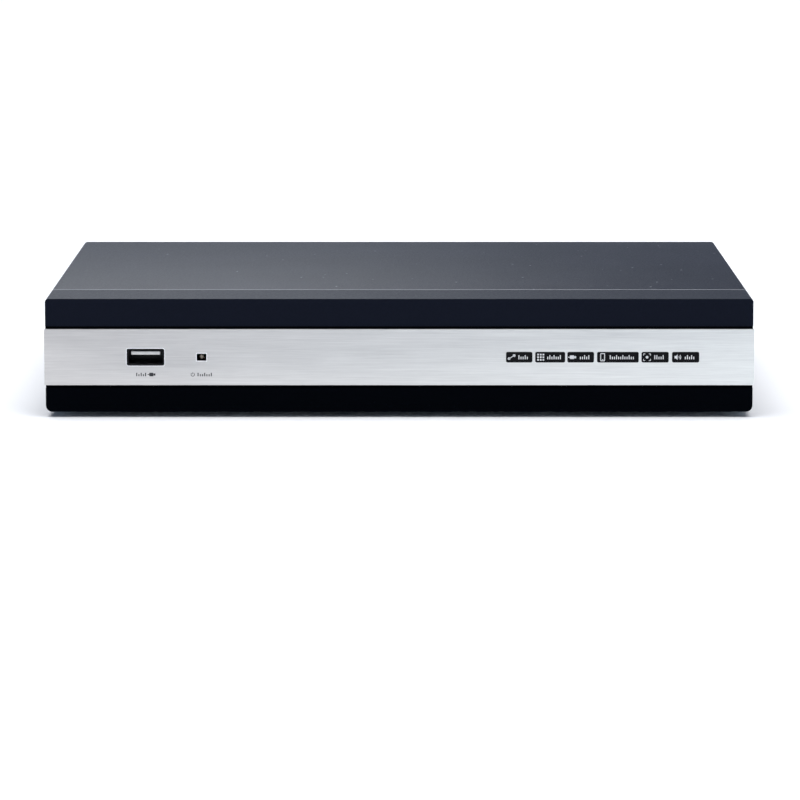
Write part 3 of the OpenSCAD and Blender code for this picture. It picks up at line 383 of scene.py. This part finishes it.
def refined(node, width, segments=2, body="case", merge=True):
    """The node's own shape with its edges rounded by width metres; it stands for the node.

    merge joins the faces that lie in one plane, where that leaves the shape whole.
    """
    source = frame["nodes"][node]
    mesh = bpy.data.meshes.new(node + "_finished")
    joined = welded(source.data)
    flat = joined.copy()
    bmesh.ops.dissolve_limit(flat, angle_limit=math.radians(0.6), verts=flat.verts, edges=flat.edges)
    whole = merge and abs(shown_area(flat) / shown_area(joined) - 1) < 0.001
    (flat if whole else joined).to_mesh(mesh)
    flat.free()
    joined.free()
    if "custom_normal" in mesh.attributes:
        mesh.attributes.remove(mesh.attributes["custom_normal"])
    smooth(mesh)
    piece = new_piece(node + "_finished", mesh, MATERIALS[SLOTS[node]], body)
    rounding = piece.modifiers.new("rounding", "BEVEL")
    rounding.width = width
    rounding.segments = segments
    rounding.limit_method = "ANGLE"
    rounding.angle_limit = math.radians(35)
    rounding.harden_normals = True
    rounding.miter_outer = "MITER_ARC"
    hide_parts(node)
    return piece


# ---- Marks: thin closed shapes in millimetres, x to the viewer's right and z up from the floor ----

DIGIT_WEIGHT = 0.08


def arc(x, z, r, start, end, steps):
    """Points on a circle from one angle to another, in degrees."""
    turn = [math.radians(start + (end - start) * i / steps) for i in range(steps + 1)]
    return [(x + r * math.cos(a), z + r * math.sin(a)) for a in turn]


def shape(x, z, points):
    """A closed outline whose points are given from its middle."""
    return [(x + dx, z + dz) for dx, dz in points], None


def disc(x, z, r):
    return arc(x, z, r, 0, 345, 23), None


def ring(x, z, r, line):
    return arc(x, z, r, 0, 352.5, 47), arc(x, z, r - line, 0, 352.5, 47)


def loop(x, z, w, h, r):
    """The outline of a rectangle with rounded corners."""
    points = []
    for sx, sz, start in ((1, 1, 0), (-1, 1, 90), (-1, -1, 180), (1, -1, 270)):
        points += arc(x + sx * (w / 2 - r), z + sz * (h / 2 - r), r, start, start + 90, 5)
    return points


def patch(x, z, w, h, r=0.08):
    return loop(x, z, w, h, r), None


def bar(x, z, w, h):
    left, right, low, high = x - w / 2, x + w / 2, z - h / 2, z + h / 2
    return [(left, low), (right, low), (right, high), (left, high)], None


def outline(x, z, w, h, r, line):
    return loop(x, z, w, h, r), loop(x, z, w - 2 * line, h - 2 * line, max(r - line, 0.05))


def stroke(x0, z0, x1, z1, line):
    """A straight stroke with square ends."""
    along = Vector((x1 - x0, z1 - z0)).normalized() * line / 2
    side = Vector((-along.y, along.x))
    ends = ((x0, z0, -1), (x1, z1, 1), (x1, z1, 1), (x0, z0, -1))
    turns = (-1, -1, 1, 1)
    corners = [(x + e * along.x + t * side.x, z + e * along.y + t * side.y)
               for (x, z, e), t in zip(ends, turns)]
    return corners, None


def bow(x, z, r, line, start, end):
    """A curved stroke."""
    return arc(x, z, r + line / 2, start, end, 12) + arc(x, z, r - line / 2, end, start, 12), None


def tokens(x, z, pattern, h, line):
    """A row of abstract ticks centred on x, in place of words: one tick for each sign of the pattern."""
    tall = {"l": 1.0, "i": 0.62}
    pitch = line * 2.1
    left = x - pitch * (len(pattern) - 1) / 2
    shapes = []
    for i, kind in enumerate(pattern):
        height = tall[kind] * h
        shapes.append(patch(left + i * pitch, z - h / 2 + height / 2, line, height, 0.05))
    return shapes


def raise_shapes(name, shapes, place, material):
    """Turns flat outlines into one closed mesh; place(x, z, level) is a point on its lower or upper side."""
    edit = bmesh.new()
    for outer, inner in shapes:
        loops = [[[edit.verts.new(place(x, z, level)) for x, z in points] for level in (0, 1)]
                 for points in (outer, inner) if points]
        for near, far in loops:
            for i in range(len(near)):
                k = (i + 1) % len(near)
                edit.faces.new((near[i], near[k], far[k], far[i]))
        for level in (0, 1):
            if inner is None:
                edit.faces.new(loops[0][level])
                continue
            around, hole = loops[0][level], loops[1][level]
            for i in range(len(around)):
                k = (i + 1) % len(around)
                edit.faces.new((around[i], around[k], hole[k], hole[i]))
    bmesh.ops.recalc_face_normals(edit, faces=edit.faces)
    mesh = bpy.data.meshes.new(name)
    edit.to_mesh(mesh)
    edit.free()
    return new_piece(name, mesh, MATERIALS[material])


def print_on(name, shapes, face, side, height, material):
    """Raises shapes on an upright face at Y = face, seen from the front (side -1) or the rear (side 1)."""
    levels = (face, face + side * height * MM)

    def place(x, z, level):
        return -side * x * MM, levels[level], z * MM

    return raise_shapes(name, shapes, place, material)


def lay_on(name, shapes, level, height, material):
    """Raises shapes on a level face; the shapes hold X and Y, and level and height are millimetres."""
    levels = (level * MM, (level + height) * MM)

    def place(x, y, k):
        return x * MM, y * MM, levels[k]

    return raise_shapes(name, shapes, place, material)


def print_digits(name, labels, size, face, side, height, material):
    """Numbers standing on an upright face; labels holds (text, x, z)."""
    edit = bmesh.new()
    for text, x, z in labels:
        curve = bpy.data.curves.new("digits", "FONT")
        curve.body = text
        curve.size = size * MM
        curve.align_x = "CENTER"
        curve.align_y = "CENTER"
        curve.extrude = height * MM / 2
        curve.resolution_u = 3
        curve.offset = DIGIT_WEIGHT * MM
        writer = bpy.data.objects.new("digits", curve)
        mesh = bpy.data.meshes.new_from_object(writer)
        upright = Matrix.Rotation(math.radians(90), 4, "X")
        facing = Matrix.Rotation(math.radians(90 + side * 90), 4, "Z")
        place = Matrix.Translation((-side * x * MM, face + side * height * MM / 2, z * MM))
        mesh.transform(place @ facing @ upright)
        edit.from_mesh(mesh)
        bpy.data.objects.remove(writer)
        bpy.data.curves.remove(curve)
        bpy.data.meshes.remove(mesh)
    bmesh.ops.remove_doubles(edit, verts=edit.verts, dist=1e-7)
    mesh = bpy.data.meshes.new(name)
    edit.to_mesh(mesh)
    edit.free()
    return new_piece(name, mesh, MATERIALS[material])


# ---- Signs ----

def link_sign(x, z):
    """Two dots joined by a line."""
    first, last = (x - 0.9, z - 0.5), (x + 0.9, z + 0.6)
    return [stroke(*first, *last, 0.28), disc(*first, 0.5), disc(*last, 0.5)]


def grid_sign(x, z):
    return [patch(x + i * 0.95, z + k * 0.95, 0.6, 0.6) for i in (-1, 0, 1) for k in (-1, 0, 1)]


def plug_sign(x, z):
    return [patch(x - 0.35, z, 1.5, 1.3, 0.2), patch(x + 0.8, z, 0.7, 0.8), patch(x - 1.4, z, 0.6, 0.28)]


def phone_sign(x, z):
    return [outline(x, z, 1.7, 2.9, 0.35, 0.28), patch(x, z - 0.85, 0.6, 0.22)]


def face_frame_sign(x, z):
    shapes = [disc(x, z, 0.5)]
    for sx in (-1, 1):
        for sz in (-1, 1):
            shapes.append(patch(x + sx * 1.0, z + sz * 1.2, 0.7, 0.22))
            shapes.append(patch(x + sx * 1.25, z + sz * 0.9, 0.22, 0.6))
    return shapes


def speaker_sign(x, z):
    horn = [(-1.1, -0.45), (-0.6, -0.45), (0, -1.0), (0, 1.0), (-0.6, 0.45), (-1.1, 0.45)]
    return [shape(x, z, horn)] + [bow(x, z, r, 0.24, -42, 42) for r in (0.6, 1.15)]


def screen_sign(x, z):
    stand, foot = patch(x, z - 0.75, 0.3, 0.35), patch(x, z - 1.0, 1.5, 0.25)
    return [outline(x, z + 0.3, 3.0, 1.7, 0.2, 0.25), stand, foot]


def camera_sign(x, z):
    lens = [(0.55, -0.25), (1.3, -0.7), (1.3, 0.7), (0.55, 0.25)]
    return [patch(x - 0.4, z, 1.9, 1.3, 0.25), shape(x, z, lens)]


def arrows_sign(x, z):
    shapes = []
    for s in (-1, 1):
        level = z + s * 0.5
        tip = [(1.5 * s, 0), (0.8 * s, 0.5 * s), (0.8 * s, -0.5 * s)]
        shapes.append(patch(x - s * 0.3, level, 2.2, 0.25))
        shapes.append(shape(x, level, tip))
    return shapes


def direct_current_sign(x, z):
    return [patch(x, z + 0.45, 3.4, 0.32)] + [patch(x + i * 1.25, z - 0.45, 0.9, 0.32) for i in (-1, 0, 1)]


def network_sign(x, z):
    """One box over two, joined by lines."""
    places = ((0, 2.0), (-2.3, -2.0), (2.3, -2.0))
    boxes = [outline(x + dx, z + dz, 1.5, 1.5, 0.35, 0.25) for dx, dz in places]
    lines = [patch(x, z + 0.6, 0.25, 1.3), patch(x, z, 4.85, 0.25)]
    return boxes + lines + [patch(x + s * 2.3, z - 0.6, 0.25, 1.3) for s in (-1, 1)]


def earth_sign(x, z):
    bars = [patch(x, z - 0.2 - 0.45 * i, 1.9 - 0.6 * i, 0.24) for i in range(3)]
    return [ring(x, z, 2.05, 0.3), patch(x, z + 0.55, 0.24, 1.4)] + bars


# ---- Front ----

# left edge and right edge from the recorder's middle, sign, ticks in place of the word
BADGES = (
    (38.5, 48.0, link_sign, "liili"),
    (49.0, 59.8, grid_sign, "ililiil"),
    (60.6, 70.2, plug_sign, "iilil"),
    (71.3, 86.3, phone_sign, "liiliiliilii"),
    (87.3, 97.1, face_frame_sign, "lliil"),
    (98.3, 108.1, speaker_sign, "ilili"),
)


def centre(node):
    """The middle of a node's box, in millimetres."""
    low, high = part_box(node)
    return (low + high) / 2 / MM


def add_badges():
    z, height, plate = centre("front_usb_shell").z, 3.85, 0.05
    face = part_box("trim_plate")[0].y
    plates, signs = [], []
    # sign and ticks stand inside the plate's two ends
    for left, right, sign, pattern in BADGES:
        plates.append(patch((left + right) / 2, z, right - left, height, 0.6))
        signs += sign(left + 2.0, z) + tokens((left + 3.4 + right - 0.6) / 2, z, pattern, 1.5, 0.36)
    print_on("badge_plates", plates, face, -1, plate, "badge_black")
    print_on("badge_signs", signs, face - plate * MM, -1, 0.02, "sign_white")


def add_front_marks():
    """The small signs printed under the USB port and under the power light, and thin bright rims round both
    openings, painted highlights of their edges.
    """
    port, led, face = centre("front_usb_shell"), centre("power_led"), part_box("trim_plate")[0].y
    z = port.z - 6.3
    marks = tokens(port.x - 1.6, z, "lilil", 1.25, 0.38) + plug_sign(port.x + 2.4, z)
    marks += [bow(led.x - 3.2, z, 0.62, 0.22, 130, 410), patch(led.x - 3.2, z + 0.45, 0.22, 0.7)]
    marks += tokens(led.x + 1.1, z, "liiliil", 1.25, 0.38)
    print_on("front_marks", marks, face, -1, 0.02, "ink_grey")
    # thin bright rims round the two openings: painted highlights of their edges
    rims = [outline(port.x, port.z, 14.1, 6.7, 0.9, 0.26), outline(led.x, port.z, 4.0, 3.1, 0.2, 0.26)]
    print_on("opening_rim_highlights", rims, face, -1, 0.03, "rim_painted_highlight")


def paint_faces(piece, material, chosen):
    """Gives the chosen faces of a piece a second material."""
    piece.data.materials.append(MATERIALS[material])
    for face in piece.data.polygons:
        if chosen(face):
            face.material_index = len(piece.data.materials) - 1


def ease_front_edge(cover):
    """Rolls over the cover's front edge along the top, so that it catches the light beside the bezel; the
    rolled faces take the cover's second material, bright steel that is partly its bare cut edge and partly a
    painted highlight.
    """
    front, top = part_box("top_cover")[0].y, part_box("top_cover")[1].z
    edit = bmesh.new()
    edit.from_mesh(cover.data)
    edges = [edge for edge in edit.edges
             if all(v.co.y < front + 0.02 * MM and v.co.z > top - 1.3 * MM for v in edge.verts)
             and any(face.normal.z > 0.3 and abs(face.normal.y) < 0.1 for face in edge.link_faces)]
    # material 1 is the bright steel: partly bare cut edge, partly painted highlight
    bmesh.ops.bevel(edit, geom=edges, offset=0.4 * MM, segments=3, profile=0.5, affect="EDGES", material=1)
    edit.to_mesh(cover.data)
    edit.free()
    smooth(cover.data)


def finish_front():
    trim_low, trim_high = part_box("trim_plate")

    def in_shade(face):
        """The bezel below the trim, the wall behind the trim and the edges over and under it."""
        if face.center.y >= trim_high.y + 1 * MM:
            return False
        below = face.center.z < trim_low.z
        behind = face.center.y > trim_low.y + 0.6 * MM
        beside = trim_low.z - MM < face.center.z < trim_high.z + MM
        return (face.normal.y < -0.5 and (below or behind)) or (abs(face.normal.z) > 0.5 and beside)

    refined("trim_plate", 0.12 * MM)
    bezel = refined("front_bezel", 0.22 * MM, 3)
    # the bezel's upward faces get the lighter copy of its plastic, as painted light
    paint_faces(bezel, "bezel_top_painted_light", lambda face: face.normal.z > 0.4 and face.center.z > trim_high.z + 2 * MM)
    paint_faces(bezel, "bezel_shade", in_shade)
    cover = refined("top_cover", 0.2 * MM, 3, "cover")
    # the cover's second material, bright steel for its rolled front edge: partly bare cut edge, partly
    # painted highlight
    cover.data.materials.append(MATERIALS["cut_steel_highlight"])
    ease_front_edge(cover)
    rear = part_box("top_cover")[1].y
    # the rear flange's faces get the darker copy of the cover's paint, as painted shade
    paint_faces(cover, "flange_painted_shade", lambda face: face.normal.y > 0.9 and face.center.y > rear - 0.1 * MM)
    refined("front_usb_shell", 0.08 * MM)
    refined("front_usb_tongue", 0.12 * MM)
    refined("rubber_feet", 0.35 * MM, 3)
    refined("cover_screws", 0.12 * MM)
    add_badges()
    add_front_marks()


# ---- Rear ----

MOUNTS = {mount["name"]: Vector(mount["pos_m"]) / MM for mount in frame["record"]["mounts"]}
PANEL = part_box("vga_jackscrews")[1].y - 5.2 * MM  # the rear face of the panel, behind the jackscrews' ends
INK = 0.03  # thickness of a print
FRAME_LINE = 0.42
JACKSCREW_SPAN = next(mount["dims"]["spacing_x_mm"] for mount in frame["record"]["mounts"]
                      if mount["name"] == "vga_jackscrew_holes")


def label(x, z, w):
    """The dark plate under a sign."""
    height, corner = 3.4, 0.7
    return patch(x, z, w, height, corner)


def video_group(first, last, before, after):
    """The printed frame round eight video jacks, from the viewer's left jack to the right one."""
    left, right = -MOUNTS[first].x - before, -MOUNTS[last].x + after
    low, high, band = FOOT + 1.3, FOOT + 36.3, 2.9
    middle = (left + right) / 2
    ink = [outline(middle, (low + high) / 2, right - left, high - low, 1.6, FRAME_LINE),
           patch(middle, low + band / 2, right - left - 0.3, band, 0.9)]
    z = low + band / 2
    return ink, camera_sign(middle - 4.0, z) + tokens(middle + 2.4, z, "liilil", 1.5, 0.34)


def audio_group():
    """The frame round the two audio inputs."""
    x, low, high, band = -MOUNTS["audio_in_1"].x + 0.65, FOOT + 0.9, FOOT + 36.5, 3.0
    ink = [outline(x, (low + high) / 2, 12.7, high - low, 1.8, FRAME_LINE),
           patch(x, low + band / 2, 12.4, band, 0.9)]
    z = low + band / 2
    return ink, speaker_sign(x - 3.2, z) + tokens(x + 1.9, z, "ilil", 1.5, 0.34)


def add_rear_print():
    stack, port, power = centre("lan_usb_shell"), centre("hd_port_shell"), centre("dc_jack_body")
    header, vga, earth = centre("rs485_header"), centre("vga_insert"), MOUNTS["earth_screw"]
    out = MOUNTS["audio_out"]
    ink, signs = [], []
    groups = (video_group("video_in_15", "video_in_9", 8.0, 9.2),
              video_group("video_in_7", "video_in_1", 8.6, 9.6),
              audio_group())
    for group_ink, group_signs in groups:
        ink += group_ink
        signs += group_signs
    low = FOOT + 2.6
    plates = ((-port.x, low, 12.8, screen_sign, "liilil"),
              (-stack.x, low, 19.6, plug_sign, ""),
              (-vga.x + 1.5, FOOT + 22.8, 9.5, screen_sign, "lil"),
              (-header.x, low, 9.4, arrows_sign, "li"),
              (-power.x + 0.1, low, 9.3, direct_current_sign, "li"))
    for x, z, width, sign, pattern in plates:
        ink.append(label(x, z, width))
        if pattern:
            signs += sign(x - width / 2 + 2.9, z) + tokens(x + width / 4 + 0.5, z, pattern, 1.6, 0.36)
        else:
            signs += sign(x, z)
    ink += network_sign(52.0, FOOT + 32.2) + earth_sign(-earth.x + 0.2, FOOT + 12.1)
    ink += speaker_sign(-out.x - 2.4, FOOT + 3.2) + tokens(-out.x + 2.4, FOOT + 3.2, "lilil", 1.7, 0.36)
    pole, pole_z, length, line = 2.4, FOOT + 15.9, 1.7, 0.36
    for s in (-1, 1):
        ink.append(patch(-header.x + s * pole, pole_z, length, line))
    ink.append(patch(-header.x - pole, pole_z, line, length))
    print_on("rear_print", ink, PANEL, 1, INK, "ink_black")
    print_on("rear_signs", signs, PANEL + INK * MM, 1, INK, "sign_white")
    numbers = []
    for kind, count, right, up in (("video_in", 16, 6.3, -7.4), ("audio_in", 2, -0.6, 7.4)):
        for n in range(1, count + 1):
            jack = MOUNTS[f"{kind}_{n}"]
            numbers.append((str(n), -jack.x + right, jack.z + up))
    print_digits("rear_numbers", numbers, 3.0, PANEL, 1, INK, "ink_black")


def add_stack_details():
    """Nicks and spring tabs round the openings of the network and USB stack."""
    shell, face = centre("lan_usb_shell"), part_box("lan_usb_shell")[1].y
    x, nicks, tabs = -shell.x, [], []
    for z in (FOOT + 10.55, FOOT + 19.15):
        nicks += [patch(x + s * 6.85, z + dz, 0.7, 0.55) for s in (-1, 1) for dz in (-1.1, 1.1)]
        nicks += [patch(x + s * 4.4, z + 2.95, 1.5, 0.5) for s in (-1, 1)] + [patch(x, z + 2.95, 2.6, 0.5)]
        tabs.append(patch(x, z - 2.65, 3.4, 0.75, 0.2))
    nicks += [patch(x + s * 6.6, FOOT + z, 0.7, 0.6) for s in (-1, 1) for z in (27.9, 30.6)]
    print_on("stack_nicks", nicks, face, 1, 0.02, "black_plastic")
    print_on("stack_tabs", tabs, face - 0.6 * MM, 1, 0.7, "nickel")


# how far the edges of each node are rounded, in millimetres
REAR_ROUNDED = {
    "bnc_shells": 0.12, "lan_usb_insert": 0.1, "bnc_insulators": 0.15, "audio_out_shell": 0.12,
    "audio_in_shells": 0.12, "audio_in_bases": 0.2, "audio_out_insert": 0.12, "audio_white_insert": 0.15,
    "audio_red_insert": 0.15, "hd_port_shell": 0.1, "hd_port_tongue": 0.1, "lan_usb_shell": 0.15,
    "usb_tongues": 0.12,
    "lan_led_yellow": 0.15, "lan_led_green": 0.15, "vga_shell": 0.12, "vga_insert": 0.15,
    "vga_jackscrews": 0.2, "rs485_header": 0.12, "rs485_pins": 0.15, "dc_jack_body": 0.3,
    "dc_jack_pin": 0.15, "rear_screw": 0.12,
}


def paint_bores(piece, material, centres, reach, floor):
    """Paints the walls of bores along Y, and their floors, with a material that stands for painted shade;
    centres, reach and floor are in millimetres.

    A wall lies within reach of a bore's axis and faces it. A floor lies deeper than floor beyond the panel.
    """
    corners = [corner.co / MM for corner in piece.data.vertices]

    def chosen(face):
        at = face.center / MM
        middle = min(centres, key=lambda c: math.hypot(at.x - c.x, at.z - c.z))
        if max(math.hypot(corners[i].x - middle.x, corners[i].z - middle.z) for i in face.vertices) > reach:
            return False
        out = Vector((at.x - middle.x, 0, at.z - middle.z))
        return face.normal.dot(out) < -0.2 * out.length or (face.normal.y > 0.5 and at.y < PANEL / MM + floor)

    paint_faces(piece, material, chosen)


def finish_rear():
    finished = {node: refined(node, width * MM, merge=node != "rs485_header")
                for node, width in REAR_ROUNDED.items()}
    # the walls inside the HD port's shell are painted nearly black, as painted shade
    paint_faces(finished["hd_port_shell"], "dark_nickel", lambda face: face.center.y < PANEL - 0.3 * MM)
    # the flange behind the panel, seen through the gap round the VGA shell, is painted black as painted shade
    paint_faces(finished["vga_shell"], "hollow_painted_shade",
                lambda face: face.normal.y > 0.5 and face.center.y < PANEL - 0.5 * MM)
    screws, vga = MOUNTS["vga_jackscrew_holes"], centre("vga_jackscrews")
    screw_centres = [Vector((screws.x + s * JACKSCREW_SPAN / 2, 0, vga.z)) for s in (-1, 1)]
    video = [MOUNTS[f"video_in_{n}"] for n in range(1, 17)]
    audio = [MOUNTS["audio_in_1"], MOUNTS["audio_in_2"], MOUNTS["audio_out"]]
    # the bores of the jacks, the jackscrews and the rear screw get painted shade
    for node, material, centres, reach, floor in (
            ("bnc_shells", "shaded_nickel", video, 4.3, 4),
            ("audio_in_shells", "hollow_painted_shade", audio, 3.6, 3),
            ("audio_out_shell", "hollow_painted_shade", audio, 2.3, 3),
            ("vga_jackscrews", "shaded_nickel", screw_centres, 1.3, 1),
            ("rear_screw", "dark_nickel", [centre("rear_screw")], 1.7, 0.9)):
        paint_bores(finished[node], material, centres, reach, floor)
    for node, material in (("lan_usb_insert", "socket_black"), ("usb_tongues", "socket_black"),
                           ("hd_port_tongue", "socket_grey"), ("dc_jack_body", "socket_black"),
                           ("vga_jackscrews", "steel_nut"), ("hd_port_shell", "steel_nut"),
                           ("audio_out_insert", "dielectric")):
        finished[node].data.materials[0] = MATERIALS[material]
    add_rear_print()
    add_stack_details()


# ---- Inside ----

# how far the edges of each node are rounded, in millimetres
INSIDE_ROUNDED = {
    "processor": 0.1, "memory_chips": 0.12, "decoder_chips": 0.12, "capacitors": 0.4, "coin_cell": 0.35,
    "coin_cell_holder": 0.25, "cable_sockets": 0.25, "cable_plugs": 0.3, "bnc_housings": 0.3,
    "audio_blocks": 0.3, "heatsink": 0.15, "drive_lid": 0.25, "drive_screws": 0.1, "board_screws": 0.12,
    "drive_connector": 0.15, "standoffs": 0.15,
}
LEG_PITCH = 0.8


def islands(node):
    """The box of each separate solid of a node, in millimetres."""
    edit = welded(frame["nodes"][node].data)
    seen, boxes = set(), []
    for start in edit.verts:
        if start in seen:
            continue
        seen.add(start)
        todo, low, high = [start], start.co.copy(), start.co.copy()
        while todo:
            vert = todo.pop()
            low = Vector(map(min, low, vert.co))
            high = Vector(map(max, high, vert.co))
            for edge in vert.link_edges:
                other = edge.other_vert(vert)
                if other not in seen:
                    seen.add(other)
                    todo.append(other)
        boxes.append((low / MM, high / MM))
    edit.free()
    return boxes


def chip_legs(boxes, sides):
    """The feet and risers of the legs along the given sides of each chip."""
    feet, risers, leg_width = [], [], 0.32
    for low, high in boxes:
        middle, half = (low + high) / 2, (high - low) / 2
        for sx, sy in sides:
            length = half.y if sx else half.x
            count = int(2 * length / LEG_PITCH) - 1
            for i in range(count):
                along = (i - (count - 1) / 2) * LEG_PITCH
                for shapes, out, reach in ((feet, 0.75, 0.6), (risers, 0.25, 0.5)):
                    x = middle.x + (sx * (half.x + out) if sx else along)
                    y = middle.y + (sy * (half.y + out) if sy else along)
                    shapes.append(bar(x, y, reach if sx else leg_width, reach if sy else leg_width))
    return feet, risers


def add_small_parts(level, taken):
    """Resistors and ceramic capacitors scattered over the free places of the main board."""
    count, pitch_x, pitch_y, clear = 150, 2, 1.6, 2.4
    low, high = (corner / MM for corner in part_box("mainboard"))
    bodies, ends = {"chip_resin": [], "ceramic_tan": []}, []
    while len(ends) < 2 * count:
        x, y = rng.uniform(low.x + 4, high.x - 4), rng.uniform(low.y + 3, high.y - 19)
        x, y = round(x / pitch_x) * pitch_x, round(y / pitch_y) * pitch_y
        if any(a.x - clear < x < b.x + clear and a.y - clear < y < b.y + clear for a, b in taken):
            continue
        taken.append((Vector((x - 0.1, y - 0.1, 0)), Vector((x + 0.1, y + 0.1, 0))))
        flat = rng.random() < 0.5
        w, d = (1.0, 0.8) if flat else (0.8, 1.0)
        bodies[rng.choice(("chip_resin", "ceramic_tan"))].append(bar(x, y, w, d))
        for s in (-1, 1):
            ends.append(bar(x + s * 0.65, y, 0.3, 0.84) if flat else bar(x, y + s * 0.65, 0.84, 0.3))
    for material, shapes in bodies.items():
        lay_on("small_parts_" + material, shapes, level, 0.5, material)
    lay_on("small_part_ends", ends, level, 0.53, "solder")


def add_board_print(level, chips):
    """White frames round the chips, and traces that run from the jacks to the chips and across the board."""
    frames = []
    for low, high in chips:
        middle, size = (low + high) / 2, high - low
        frames.append(outline(middle.x, middle.y, size.x + 3.4, size.y + 3.4, 0.3, 0.2))
    lay_on("board_frames", frames, level, 0.02, "sign_white")
    back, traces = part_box("bnc_housings")[0].y / MM, []
    for low, high in islands("bnc_housings"):
        x = (low.x + high.x) / 2
        traces += [bar(x + dx, back - 4.5 + dx / 2, 0.35, 8 - dx) for dx in (-2.4, -1.2, 1.2, 2.4)]
    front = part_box("mainboard")[0].y / MM
    traces += [bar(0, front + 9 + 0.9 * i, 150 - 6 * i, 0.35) for i in range(7)]
    traces += [bar(-60 + 0.9 * i, front + 30, 0.35, 34 - 2 * i) for i in range(8)]
    lay_on("board_traces", traces, level, 0.015, "board_trace")


def add_drive_label():
    """A plain paper label with abstract rules on the drive's lid."""
    low, high = (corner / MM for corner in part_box("drive_lid"))
    x, y, top = low.x + 27, (low.y + high.y) / 2, high.z
    lay_on("drive_label", [patch(x, y, 30, 78, 2)], top, 0.06, "label_paper")
    rules = [bar(x + 9 - 3 * i, y - 12, 0.8, 40 - 6 * (i % 3)) for i in range(6)]
    rules += [bar(x + 6 - 1.1 * i, y + 25, 0.4 + 0.3 * (i % 2), 16) for i in range(12)]
    lay_on("drive_label_marks", rules, top + 0.06, 0.02, "ink_grey")


def finish_inside():
    finished = {node: refined(node, width * MM) for node, width in INSIDE_ROUNDED.items()}
    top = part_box("capacitors")[1].z
    paint_faces(finished["capacitors"], "solder",
                lambda face: face.normal.z > 0.9 and face.center.z > top - 0.1 * MM)
    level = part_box("mainboard")[1].z / MM
    memory, decoders = islands("memory_chips"), islands("decoder_chips")
    for name, boxes, sides in (("memory", memory, ((-1, 0), (1, 0))),
                               ("decoder", decoders, ((-1, 0), (1, 0), (0, -1), (0, 1)))):
        feet, risers = chip_legs(boxes, sides)
        lay_on(name + "_feet", feet, level, 0.14, "solder")
        lay_on(name + "_risers", risers, level + 0.14, 0.4, "solder")
    taken = [box for node in ("heatsink", "memory_chips", "decoder_chips", "capacitors", "coin_cell_holder",
                              "cable_sockets", "board_screws") for box in islands(node)]
    add_small_parts(level, taken)
    add_board_print(level, memory + decoders)
    add_drive_label()


add_camera()
MATERIALS = make_materials()
add_studio()
for node, shown in frame["nodes"].items():
    shown.data.materials.clear()
    shown.data.materials.append(MATERIALS[SLOTS[node]])
finish_front()
finish_rear()
finish_inside()
